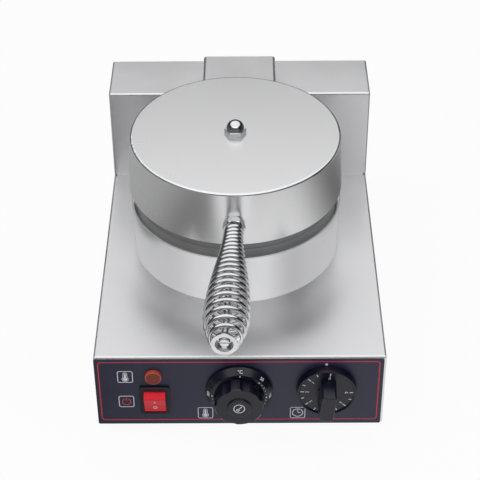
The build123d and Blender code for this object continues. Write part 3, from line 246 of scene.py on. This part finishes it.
def cast_iron(name, field_dark, field_light, rim_dark, rim_light):
    """Seasoned casting: a dark, slightly oily field inside a grey machined rim."""
    material, tree, shader = new_material(name)
    space = object_space(tree)
    cloud = noise(tree, space, 35.0, detail=4.0)
    flat = add_node(tree, "ShaderNodeVectorMath", operation="MULTIPLY")
    tree.links.new(space, flat.inputs[0])
    flat.inputs[1].default_value = (1, 1, 0)
    away = distance_from(tree, flat.outputs[0], (plate_middle[0], plate_middle[1], 0))
    rim = spread(tree, away, 0, 1, RIM_START, RIM_END)
    skin = tint(tree, spread(tree, cloud, 0, 1), field_dark, field_light)
    bare = tint(tree, spread(tree, cloud, 0, 1), rim_dark, rim_light)
    tree.links.new(blend(tree, rim, skin, bare), shader.inputs["Base Color"])
    shader.inputs["Metallic"].default_value = 0.4
    tree.links.new(spread(tree, cloud, 0.38, 0.55), shader.inputs["Roughness"])
    pits = noise(tree, space, 900.0, detail=4.0, rough=0.65)
    bump(tree, shader, pits, strength=0.3, distance=0.12 * MM)
    return material


def glossy_red(name, colour, rough, sink):
    """Red translucent plastic of lamp and rocker."""
    material, tree, shader = new_material(name)
    space = object_space(tree)
    cloud = noise(tree, space, 150.0)
    tree.links.new(tint(tree, cloud, shaded(colour, 0.8), colour), shader.inputs["Base Color"])
    shader.inputs["Roughness"].default_value = rough
    shader.inputs["Subsurface Weight"].default_value = sink
    shader.inputs["Subsurface Radius"].default_value = (2 * MM, 0.4 * MM, 0.3 * MM)
    shader.inputs["Specular IOR Level"].default_value = 0.4
    bump(tree, shader, noise(tree, space, 700.0), strength=0.04, distance=0.05 * MM)
    return material


def grey(level, blue=0.01):
    """Nearly neutral colour with a little more blue."""
    return (level, level, level + blue)


# Fine grain stretched along x, along y, along the arm, or round the upright walls
ALONG_X, ALONG_Y, ALONG_ARM, AROUND = (40, 900, 900), (900, 40, 900), (900, 30, 900), (60, 60, 1400)

# Material slot: (recipe, its values)
FINISHES = {
    "casing_steel": (brushed_steel, dict(dark=grey(0.78), light=grey(0.86), rough=0.34, grain=ALONG_X)),
    "head_steel": (brushed_steel, dict(dark=grey(0.82), light=grey(0.86), rough=0.22, grain=AROUND,
                                       lean=DRUM_LEAN)),
    "arm_steel": (brushed_steel, dict(dark=grey(0.78), light=grey(0.86), rough=0.3, grain=ALONG_ARM)),
    "base_steel": (brushed_steel, dict(dark=(0.46, 0.47, 0.48), light=(0.55, 0.56, 0.57), rough=0.38,
                                       grain=ALONG_Y)),
    "panel_film": (moulded, dict(colour=(0.018, 0.018, 0.05), rough=0.42, grain=2400.0, strength=0.06)),
    "cast_plate": (cast_iron, dict(field_dark=(0.028, 0.026, 0.025), field_light=(0.062, 0.058, 0.054),
                                   rim_dark=grey(0.19, 0), rim_light=grey(0.25, 0))),
    "element_sheath": (plated, dict(colour=(0.2, 0.17, 0.15), rough=0.45)),
    "press_steel": (brushed_steel, dict(dark=grey(0.4), light=grey(0.5), rough=0.4, grain=ALONG_X)),
    "insulation_wool": (wool, dict(colour=(0.75, 0.7, 0.55))),
    "bright_fasteners": (plated, dict(colour=grey(0.66), rough=0.24)),
    "polished_nut": (plated, dict(colour=grey(0.78), rough=0.12)),
    "pin_steel": (plated, dict(colour=grey(0.62), rough=0.2)),
    "spring_wire": (plated, dict(colour=grey(0.78), rough=0.1, speck=500.0, strength=0.03)),
    "handle_screw": (plated, dict(colour=grey(0.74), rough=0.14)),
    "rubber_black": (moulded, dict(colour=grey(0.018, 0), rough=0.75, grain=900.0, strength=0.35)),
    "cutout_ceramic": (moulded, dict(colour=(0.72, 0.7, 0.64), rough=0.5)),
    "feeler_copper": (plated, dict(colour=(0.72, 0.4, 0.26), rough=0.3)),
    "switchgear_plastic": (moulded, dict(colour=grey(0.004, 0.005), rough=0.35, strength=0.2, shine=0.4)),
    "bell_steel": (plated, dict(colour=grey(0.7), rough=0.16)),
    "spindle_brass": (plated, dict(colour=(0.75, 0.58, 0.3), rough=0.25)),
    "dial_black": (moulded, dict(colour=grey(0.004, 0.009), rough=0.3, grain=1800.0, strength=0.12)),
    "knob_black": (moulded, dict(colour=grey(0.004, 0.009), rough=0.3, grain=1800.0, strength=0.12)),
    "cap_grey": (moulded, dict(colour=grey(0.005, 0.01), rough=0.3, grain=1800.0, strength=0.12)),
    "timer_grey": (moulded, dict(colour=grey(0.005, 0.011), rough=0.3, grain=1800.0, strength=0.12)),
    "rocker_red": (glossy_red, dict(colour=(0.78, 0.006, 0.02), rough=0.34, sink=0.15)),
    "lens_red": (glossy_red, dict(colour=(0.50, 0.09, 0.045), rough=0.3, sink=0.1)),
    "gland_plastic": (moulded, dict(colour=grey(0.022, 0), rough=0.5)),
    "terminal_plastic": (moulded, dict(colour=(0.8, 0.79, 0.74), rough=0.45)),
    "ink_white": (printed, dict(colour=(0.74, 0.74, 0.8))),
    "grid_brown": (printed, dict(colour=(0.10, 0.014, 0.01))),
    "ink_red": (printed, dict(colour=(0.62, 0.035, 0.05))),
}
materials = {slot: recipe(slot, **values) for slot, (recipe, values) in FINISHES.items()}

slot_of = {part["node"]: part["material_slot"] for part in frame["record"]["subparts"]}
for name, obj in nodes.items():
    obj.data.materials.clear()
    obj.data.materials.append(materials[slot_of[name]])


# Flat marks: closed outlines in a mark's own plane, u to the right and v up, in millimetres
MARK_LIFT = 0.04 * MM
MARK_DEPTH = 0.06 * MM


def circle(u, v, radius, steps=48, start=0.0, end=2 * math.pi):
    """Points round a circle or an arc."""
    count = steps if math.isclose(end - start, 2 * math.pi) else steps + 1
    angles = [start + (end - start) * i / steps for i in range(count)]
    return [(u + radius * math.cos(angle), v + radius * math.sin(angle)) for angle in angles]


def ring(u, v, outer, line, steps=48):
    """Outer and inner circle of a round line."""
    return [circle(u, v, outer, steps), circle(u, v, outer - line, steps)]


def rounded(u0, u1, v0, v1, radius, steps=6):
    """Rectangle with rounded corners."""
    points = []
    for cu, cv, start in (
        (u1 - radius, v1 - radius, 0.0), (u0 + radius, v1 - radius, 0.5),
        (u0 + radius, v0 + radius, 1.0), (u1 - radius, v0 + radius, 1.5),
    ):
        points += circle(cu, cv, radius, steps, start * math.pi, (start + 0.5) * math.pi)
    return points


def stroke(u0, v0, u1, v1, width):
    """Straight stroke with square ends."""
    along = Vector((u1 - u0, v1 - v0)).normalized()
    side = Vector((-along.y, along.x)) * width / 2
    a, b = Vector((u0, v0)), Vector((u1, v1))
    return [tuple(a + side), tuple(a - side), tuple(b - side), tuple(b + side)]


def arc_band(u, v, radius, width, start, end, steps=32):
    """Band along an arc, from one angle to another."""
    outer = circle(u, v, radius + width / 2, steps, start, end)
    inner = circle(u, v, radius - width / 2, steps, start, end)
    return outer + inner[::-1]


def as_mesh(name, curve):
    """Mesh of a curve or text, with the curve taken away again."""
    carrier = bpy.data.objects.new(name + "_curve", curve)
    bpy.context.scene.collection.objects.link(carrier)
    bpy.context.view_layer.update()
    mesh = bpy.data.meshes.new_from_object(carrier.evaluated_get(bpy.context.evaluated_depsgraph_get()))
    bpy.data.objects.remove(carrier)
    bpy.data.curves.remove(curve)
    return mesh


def filled(name, outlines):
    """Thin plate over closed outlines; an outline inside another one is a hole."""
    curve = bpy.data.curves.new(name, "CURVE")
    curve.dimensions = "2D"
    curve.fill_mode = "BOTH"
    curve.extrude = MARK_DEPTH / 2 / MM
    for outline in outlines:
        spline = curve.splines.new("POLY")
        spline.points.add(len(outline) - 1)
        for point, (u, v) in zip(spline.points, outline):
            point.co = (u, v, 0, 1)
        spline.use_cyclic_u = True
    return as_mesh(name, curve)


def lettered(name, text, size=4.0):
    """Number or sign, centred on its own origin."""
    curve = bpy.data.curves.new(name, "FONT")
    curve.body = text
    curve.size = size
    curve.align_x = "CENTER"
    curve.align_y = "CENTER"
    curve.extrude = MARK_DEPTH / 2 / MM
    curve.offset = size * 0.012
    return as_mesh(name, curve)


def turned_mark(mesh, place, u=0.0, v=0.0, angle=0.0):
    """The mesh turned clockwise by an angle in degrees and moved in its plane, then placed."""
    mesh.transform(Matrix.Translation((u, v, 0)) @ Matrix.Rotation(-math.radians(angle), 4, "Z"))
    mesh.transform(place)
    return mesh


def mark_all(name, groups, place):
    """Meshes of several groups of outlines, each group filled by itself."""
    return [turned_mark(filled(name, group), place) for group in groups]


def joined(name, meshes, body, material):
    """One object from several meshes that are already in the shared frame; it rides on a body."""
    whole = bmesh.new()
    for mesh in meshes:
        whole.from_mesh(mesh)
        bpy.data.meshes.remove(mesh)
    data = bpy.data.meshes.new(name)
    whole.to_mesh(data)
    whole.free()
    data.materials.append(materials[material])
    obj = bpy.data.objects.new(name, data)
    bpy.context.scene.collection.objects.link(obj)
    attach(obj, body)


def facing(origin, depth=0.0, tilt=0.0):
    """Millimetre plane that faces the front: u to +X, v to +Z, w to -Y."""
    turn = Matrix(((1, 0, 0, 0), (0, 0, -1, 0), (0, 1, 0, 0), (0, 0, 0, 1)))
    spot = Vector((origin[0], origin[1] - depth, origin[2]))
    return Matrix.Translation(spot) @ turn @ Matrix.Rotation(math.radians(tilt), 4, "X") @ Matrix.Scale(MM, 4)


# Control panel, from the body's bottom middle: outer and inner edge of its red border (left, right, bottom,
# top, corner radius), and the middles of icons and index dot
BORDER_OUTER, BORDER_INNER = (-121.9, 120.0, 3.6, 72.9, 3.2), (-121.0, 119.1, 4.5, 72.0, 2.4)
LAMP_ICON, POWER_ICON, HEAT_ICON, CLOCK_ICON = (-98.8, 55.6), (-99.0, 26.3), (-30.5, 12.1), (50.3, 11.9)
INDEX_DOT, INDEX_RADIUS = (74.0, 69.3), 1.25

ICON_SIZE, ICON_CORNER, ICON_FRAME, ICON_LINE = 13.4, 1.8, 0.65, 0.8
STEM_TOP, STEM_HALF, BULB_AT, BULB_RADIUS, TUBE_WALL = 3.3, 1.9, -2.7, 2.9, 0.5
COLUMN_HALF, COLUMN_BULB = 0.75, 1.9
CLOCK_RADIUS, LONG_HAND, SHORT_HAND = 4.9, 3.2, 2.6
POWER_RADIUS, POWER_DROP, POWER_GAP, BAR_START, BAR_END = 3.6, 0.4, 28.0, 1.0, 4.2


def frame_art(u, v):
    """Square frame round an icon: its outer and inner edge."""
    outer = ICON_SIZE / 2
    inner = outer - ICON_FRAME
    return [
        rounded(u - outer, u + outer, v - outer, v + outer, ICON_CORNER),
        rounded(u - inner, u + inner, v - inner, v + inner, ICON_CORNER - ICON_FRAME),
    ]


def thermometer_outline(u, v, half, bulb):
    """Closed outline of a stem with a round top on a round bulb."""
    meet = math.acos(half / bulb)
    top = circle(u, v + STEM_TOP, half, 12, 0.0, math.pi)
    return top + circle(u, v + BULB_AT, bulb, 32, math.pi - meet, 2 * math.pi + meet)


def thermometer_art(u, v):
    """Thermometer: its outline and the filled column inside."""
    shell = [
        thermometer_outline(u, v, STEM_HALF, BULB_RADIUS),
        thermometer_outline(u, v, STEM_HALF - TUBE_WALL, BULB_RADIUS - TUBE_WALL),
    ]
    return [shell, [thermometer_outline(u, v, COLUMN_HALF, COLUMN_BULB)]]


def clock_art(u, v):
    """Clock face with two hands."""
    half = ICON_LINE / 2
    return [
        ring(u, v, CLOCK_RADIUS, ICON_LINE),
        [stroke(u, v - half, u, v + LONG_HAND, ICON_LINE)],
        [stroke(u - half, v, u + SHORT_HAND, v, ICON_LINE)],
    ]


def power_art(u, v):
    """Open ring with a short bar at its top."""
    gap = math.radians(POWER_GAP)
    start, end = math.pi / 2 + gap, 5 * math.pi / 2 - gap
    return [
        [arc_band(u, v - POWER_DROP, POWER_RADIUS, ICON_LINE, start, end)],
        [stroke(u, v + BAR_START, u, v + BAR_END, ICON_LINE)],
    ]


def print_panel():
    """Border, white icons with the index dot, and the red switch sign."""
    plane = facing(Vector((0, FACE_Y, BODY_Z)), MARK_LIFT)
    border = [rounded(*BORDER_OUTER), rounded(*BORDER_INNER)]
    joined("panel_border", mark_all("panel_border", [border], plane), "base", "ink_red")
    white = [frame_art(*at) for at in (LAMP_ICON, POWER_ICON, HEAT_ICON, CLOCK_ICON)]
    white += thermometer_art(*LAMP_ICON) + thermometer_art(*HEAT_ICON) + clock_art(*CLOCK_ICON)
    white.append([circle(*INDEX_DOT, INDEX_RADIUS, 24)])
    joined("panel_icons", mark_all("panel_icons", white, plane), "base", "ink_white")
    power = mark_all("power_sign", power_art(*POWER_ICON), plane)
    joined("power_sign", power, "base", "ink_red")


# Thermostat dial: numbers on its cone, dots on the ring inside it; edges are (radius, height)
thermostat_axis = joint_place("thermostat_turn")
dial_low, dial_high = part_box("thermostat_dial")
DIAL_OUTER = ((dial_high[0] - dial_low[0]) / 2 / MM, 2.6)
DIAL_SHOULDER = (24.6, 7.8)
DIAL_INNER = (21.7, (dial_high[1] - dial_low[1]) / MM)
NUMBER_RADIUS, DOT_RADIUS, DIAL_LIFT = 26.6, 23.4, 0.22
SCALE_TEXTS = ("°C", "50", "100", "150", "200", "250", "300")
SCALE_START, SCALE_STEP, DOTS_PER_STEP = 2.0, 45.0, 5
MAIN_DOT, SMALL_DOT = 0.62, 0.4


def on_dial(mesh, angle, radius, outer, inner):
    """Mark on the cone between two edges of the dial, its top outward, clockwise from the top."""
    rise = (inner[1] - outer[1]) / (outer[0] - inner[0])
    height = outer[1] + (outer[0] - radius) * rise + DIAL_LIFT
    turn = Matrix.Rotation(-math.radians(angle), 4, "Z")
    lift = Matrix.Translation((0, radius, height)) @ Matrix.Rotation(-math.atan(rise), 4, "X")
    mesh.transform(facing(thermostat_axis) @ turn @ lift)
    return mesh


def scale_dot(angle, radius):
    """Dot on the dial's inner ring."""
    return on_dial(filled("scale", [circle(0, 0, radius, 18)]), angle, DOT_RADIUS, DIAL_SHOULDER, DIAL_INNER)


def print_thermostat_scale():
    """Numbers from 50 to 300 after the unit, each with a dot, and small dots between them."""
    marks = []
    for step, text in enumerate(SCALE_TEXTS):
        angle = SCALE_START + SCALE_STEP * step
        marks.append(on_dial(lettered("scale", text), angle, NUMBER_RADIUS, DIAL_OUTER, DIAL_SHOULDER))
        marks.append(scale_dot(angle, MAIN_DOT))
        if 0 < step < len(SCALE_TEXTS) - 1:
            for part in range(1, DOTS_PER_STEP):
                marks.append(scale_dot(angle + SCALE_STEP * part / DOTS_PER_STEP, SMALL_DOT))
    joined("thermostat_scale", marks, "base", "ink_white")


# Sign on the thermostat knob's cap: a ring (middle, radius, line), a pointer (ends, width), and its hub and
# the hub's hole (middle, radius)
CAP_RING = (0, 0, 5.0, 0.7)
CAP_POINTER = (-0.8, -1.2, 2.2, 2.4, 0.9)
CAP_HUB, CAP_HOLE = (-1.1, -1.5, 1.5), (-1.1, -1.5, 0.7)


def print_knob_sign():
    """Ring round a plain dial pointer."""
    cap_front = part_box("thermostat_cap")[0][1]
    plane = facing(Vector((thermostat_axis[0], cap_front, thermostat_axis[2])), MARK_LIFT)
    art = [ring(*CAP_RING), [stroke(*CAP_POINTER)], [circle(*CAP_HUB, 24), circle(*CAP_HOLE, 20)]]
    joined("knob_sign", mark_all("knob_sign", art, plane), "thermostat", "ink_white")


# Timer knob: ticks and numbers on its dished face, clockwise from the top; its wide step lies at the bottom
TIMER_FACE = 6.1
TIMER_ANGLES = (7, -23, -45, -65.5, -86, -106, -127, -152, -178, -204, -227, -249, -270.5)
TICK_OUTER, TICK_WHOLE, TICK_HALF, TICK_WIDTH, DIGIT_RADIUS = 23.0, 19.6, 20.4, 0.85, 16.9


def print_timer_scale():
    """A tick for each half step and a number for each whole one."""
    plane = facing(joint_place("timer_turn"), TIMER_FACE * MM + MARK_LIFT)
    marks = []
    for half_step, angle in enumerate(TIMER_ANGLES):
        whole = half_step % 2 == 0
        tick = stroke(0, TICK_WHOLE if whole else TICK_HALF, 0, TICK_OUTER, TICK_WIDTH)
        marks.append(turned_mark(filled("tick", [tick]), plane, angle=angle))
        if whole:
            turn = math.radians(angle)
            u, v = DIGIT_RADIUS * math.sin(turn), DIGIT_RADIUS * math.cos(turn)
            marks.append(turned_mark(lettered("tick", str(half_step // 2)), plane, u, v, angle))
    joined("timer_scale", marks, "timer", "ink_white")


# Rocker: its tilt in degrees, and distance and hollow radius of its front
ROCKER_TURN, ROCKER_FRONT, ROCKER_CURVE = 18.0, 5.97, 41.2
SIGN_AT, SIGN_HALF, SIGN_BAR, SIGN_RING, SIGN_LIFT = 4.4, 1.9, 0.8, 0.65, 0.12


def on_rocker(outlines, v):
    """Sign on the rocker's hollow front, at a height v from its middle."""
    lift = ROCKER_CURVE - math.sqrt(ROCKER_CURVE ** 2 - v ** 2)
    lean = Matrix.Rotation(math.asin(v / ROCKER_CURVE), 4, "X")
    place = Matrix.Translation((0, v, ROCKER_FRONT + lift + SIGN_LIFT)) @ lean
    return turned_mark(filled("rocker", outlines), facing(joint_place("rocker_tilt"), 0, ROCKER_TURN) @ place)


def print_rocker_signs():
    """A bar on the rocker's upper half and a ring on its lower half."""
    signs = [
        on_rocker([stroke(0, -SIGN_HALF, 0, SIGN_HALF, SIGN_BAR)], SIGN_AT),
        on_rocker(ring(0, 0, SIGN_HALF, SIGN_RING, 32), -SIGN_AT),
    ]
    joined("rocker_signs", signs, "rocker", "ink_white")


# Pilot lamp: a fine diagonal grid in the lens's flat face
LENS_FACE_RADIUS, GRID_PITCH, GRID_LINE, GRID_ROWS = 6.1, 1.35, 0.5, 4


def print_lens_grid():
    """Two sets of parallel lines across the round face."""
    lens_low, lens_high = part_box("lamp_lens")
    lens_middle = middle(lens_low, lens_high)
    plane = facing(Vector((lens_middle[0], lens_low[1], lens_middle[2])), MARK_LIFT)
    lines = []
    for way in (-1, 1):
        for row in range(-GRID_ROWS, GRID_ROWS + 1):
            off = row * GRID_PITCH
            half = math.sqrt(LENS_FACE_RADIUS ** 2 - off ** 2)
            across = Vector((off, -off * way)) * math.sqrt(0.5)
            along = Vector((half, half * way)) * math.sqrt(0.5)
            lines.append([stroke(*(across - along), *(across + along), GRID_LINE)])
    joined("lens_grid", mark_all("grid", lines, plane), "base", "grid_brown")


print_panel()
print_thermostat_scale()
print_knob_sign()
print_timer_scale()
print_rocker_signs()
print_lens_grid()


# Floor: white to the camera; in reflections a pool of light beside the front, a spot before it, a pale rest
FLOOR_SIZE, FLOOR_DROP, FLOOR_COLOUR = 8.0, 0.0002, (0.9, 0.9, 0.9, 1)
POOL_PLACE = (0.145, FACE_Y - 0.06, 0)
POOL_BRIGHT, POOL_DIM, POOL_FAR = 0.84, 0.16, 0.24
POOL_START, POOL_END = 0.10, 0.40
FRONT_PLACE = (-0.02, FACE_Y - 0.36, 0)
FRONT_START, FRONT_END = 0.12, 0.24
FAR_START, FAR_END = 0.40, 0.56

# Share of plain white in the floor, and strength of the white sky, as the camera sees them
FLOOR_SEEN = 0.93
SKY_SEEN = 0.974


def floor_pool(tree):
    """Brightness of the floor in reflections."""
    space = add_node(tree, "ShaderNodeTexCoord").outputs["Object"]
    away = distance_from(tree, space, POOL_PLACE)
    pool = spread(tree, away, POOL_BRIGHT, POOL_DIM, POOL_START, POOL_END)
    spot = spread(tree, distance_from(tree, space, FRONT_PLACE), 1.0, 0, FRONT_START, FRONT_END)
    far = spread(tree, away, 0, POOL_FAR, FAR_START, FAR_END)
    return combine(tree, "ADD", combine(tree, "MAXIMUM", pool, spot), far)


def pale_floor():
    """White floor that keeps the object's shadow."""
    material, tree, _ = new_material("floor_white")
    path = add_node(tree, "ShaderNodeLightPath").outputs
    dark = combine(tree, "SUBTRACT", 1.0, floor_pool(tree))
    dimmer = combine(tree, "MULTIPLY", dark, path["Is Glossy Ray"])
    glow = add_node(tree, "ShaderNodeEmission", Color=(1, 1, 1, 1))
    tree.links.new(combine(tree, "SUBTRACT", 1.0, dimmer), glow.inputs["Strength"])
    matte = add_node(tree, "ShaderNodeBsdfDiffuse", Color=FLOOR_COLOUR)
    seen = combine(tree, "MAXIMUM", path["Is Camera Ray"], path["Is Transmission Ray"])
    seen = combine(tree, "MULTIPLY", seen, FLOOR_SEEN)
    share = combine(tree, "MAXIMUM", seen, path["Is Glossy Ray"])
    floor = mixed(tree, share, matte.outputs[0], glow.outputs[0])
    tree.links.new(floor, tree.nodes["Material Output"].inputs["Surface"])
    return material


def stage_plane(name, size, place, material):
    """Flat square that belongs to the studio."""
    half = size / 2
    corners = [(-half, -half, 0), (half, -half, 0), (half, half, 0), (-half, half, 0)]
    mesh = bpy.data.meshes.new(name)
    mesh.from_pydata(corners, [], [(0, 1, 2, 3)])
    mesh.materials.append(material)
    obj = bpy.data.objects.new(name, mesh)
    obj.matrix_world = place
    bpy.context.scene.collection.objects.link(obj)


# Sky in reflections: brightness round the horizon by share of a turn (0 rear, 0.25 left, 0.5 front,
# 0.75 right), a bright ceiling round one direction, and a darker belt close above the floor
HORIZON = ((0.0, 0.25), (0.14, 0.4), (0.225, 0.85), (0.30, 0.8), (0.37, 1.8), (0.5, 1.8),
           (0.56, 1.9), (0.61, 1.9), (0.68, 0.0), (0.76, 0.7), (0.86, 0.4), (1.0, 0.25))
CEILING = 1.1
CEILING_AIM = (0, 0.15, 1.0)
CEILING_START, CEILING_END = 0.53, 0.76
BELT = 0.06
BELT_START, BELT_END = 0.52, 0.68
FILL_COLOUR, FILL_STRENGTH = (0.95, 0.97, 1.0, 1), 0.55


def horizon(tree, parts):
    """Brightness by the direction's turn round the upright axis."""
    turn = combine(tree, "ARCTAN2", parts["X"], combine(tree, "MULTIPLY", parts["Y"], -1.0))
    ramp = add_node(tree, "ShaderNodeValToRGB")
    tree.links.new(combine(tree, "MULTIPLY_ADD", turn, 0.5 / math.pi, 0.5), ramp.inputs["Fac"])
    stops = ramp.color_ramp.elements
    while len(stops) < len(HORIZON):
        stops.new(0.5)
    for stop, (place, level) in zip(stops, HORIZON):
        stop.position = place
        stop.color = (level, level, level, 1)
    return ramp.outputs["Color"]


def glossy_sky(tree):
    """Brightness of the sky in reflections."""
    direction = add_node(tree, "ShaderNodeTexCoord").outputs["Generated"]
    split = add_node(tree, "ShaderNodeSeparateXYZ")
    tree.links.new(direction, split.inputs[0])
    lean = add_node(tree, "ShaderNodeVectorMath", operation="DOT_PRODUCT")
    tree.links.new(direction, lean.inputs[0])
    lean.inputs[1].default_value = CEILING_AIM
    ceiling = spread(tree, lean.outputs["Value"], 0, 1, CEILING_START, CEILING_END)
    belt = spread(tree, split.outputs["Z"], BELT, 1, BELT_START, BELT_END)
    around = combine(tree, "MULTIPLY", horizon(tree, split.outputs), belt)
    around = combine(tree, "MULTIPLY", around, combine(tree, "SUBTRACT", 1.0, ceiling))
    return combine(tree, "ADD", around, combine(tree, "MULTIPLY", ceiling, CEILING))


def make_world():
    """White for camera and transmission, the uneven sky for gloss, and a plain fill for the rest."""
    world = bpy.data.worlds.new("studio")
    bpy.context.scene.world = world
    world.use_nodes = True
    tree = world.node_tree
    tree.nodes.clear()
    out = add_node(tree, "ShaderNodeOutputWorld")
    path = add_node(tree, "ShaderNodeLightPath").outputs
    gloss = add_node(tree, "ShaderNodeBackground", Color=(1, 1, 1, 1))
    tree.links.new(glossy_sky(tree), gloss.inputs["Strength"])
    white_part = add_node(tree, "ShaderNodeBackground", Color=(1, 1, 1, 1), Strength=SKY_SEEN)
    fill = add_node(tree, "ShaderNodeBackground", Color=FILL_COLOUR, Strength=FILL_STRENGTH)
    lit = mixed(tree, path["Is Glossy Ray"], fill.outputs[0], gloss.outputs[0])
    seen = combine(tree, "MAXIMUM", path["Is Camera Ray"], path["Is Transmission Ray"])
    tree.links.new(mixed(tree, seen, lit, white_part.outputs[0]), out.inputs["Surface"])


# Lamps: (name, place, side length, power); both look at one point of the object
LAMPS = (("key", (-0.9, -0.5, 1.5), 0.9, 9), ("fill", (1.1, -0.7, 1.1), 0.8, 4))
LAMP_AIM = (0, 0, 0.1)


def soft_lamp(name, place, size, power):
    """Square area lamp that looks at the object and stays out of reflections."""
    light = bpy.data.lights.new(name, "AREA")
    light.shape = "SQUARE"
    light.size = size
    light.energy = power
    obj = bpy.data.objects.new(name, light)
    obj.location = place
    obj.rotation_mode = "QUATERNION"
    obj.rotation_quaternion = (Vector(LAMP_AIM) - Vector(place)).to_track_quat("-Z", "Y")
    obj.visible_glossy = False
    bpy.context.scene.collection.objects.link(obj)


# Camera at the photograph's viewing angle, solved from its corners and circles: turns in degrees, and the
# camera's place in millimetres from the middle of the body's lower front edge
CAMERA_YAW, CAMERA_PITCH, CAMERA_ROLL = -0.33, 38.08, -0.456
CAMERA_RIGHT, CAMERA_BACK, CAMERA_UP = 6.166, 900.852, 910.367
SENSOR_WIDTH, FOCAL_LENGTH = 36.0, 107.96
CLIP_START, CLIP_END = 0.05, 20


def make_camera():
    """Camera that frames the object as the photograph does."""
    yaw, pitch, roll = (math.radians(a) for a in (CAMERA_YAW, CAMERA_PITCH, CAMERA_ROLL))
    ahead = Vector((math.sin(yaw) * math.cos(pitch), math.cos(yaw) * math.cos(pitch), -math.sin(pitch)))
    right = Vector((math.cos(yaw), -math.sin(yaw), 0))
    up = right.cross(ahead)
    right_rolled = right * math.cos(roll) + up * math.sin(roll)
    up_rolled = up * math.cos(roll) - right * math.sin(roll)
    data = bpy.data.cameras.new("camera")
    data.sensor_width = SENSOR_WIDTH
    data.lens = FOCAL_LENGTH
    data.clip_start = CLIP_START
    data.clip_end = CLIP_END
    obj = bpy.data.objects.new("camera", data)
    spot = Vector((CAMERA_RIGHT * MM, FACE_Y - CAMERA_BACK * MM, BODY_Z + CAMERA_UP * MM))
    turn = Matrix((right_rolled, up_rolled, -ahead)).transposed()
    obj.matrix_world = Matrix.Translation(spot) @ turn.to_4x4()
    bpy.context.scene.collection.objects.link(obj)
    bpy.context.scene.camera = obj


stage_plane("floor", FLOOR_SIZE, Matrix.Translation((0, 0, -FLOOR_DROP)), pale_floor())
make_world()
for lamp in LAMPS:
    soft_lamp(*lamp)
make_camera()
bpy.context.scene.view_settings.view_transform = "Standard"
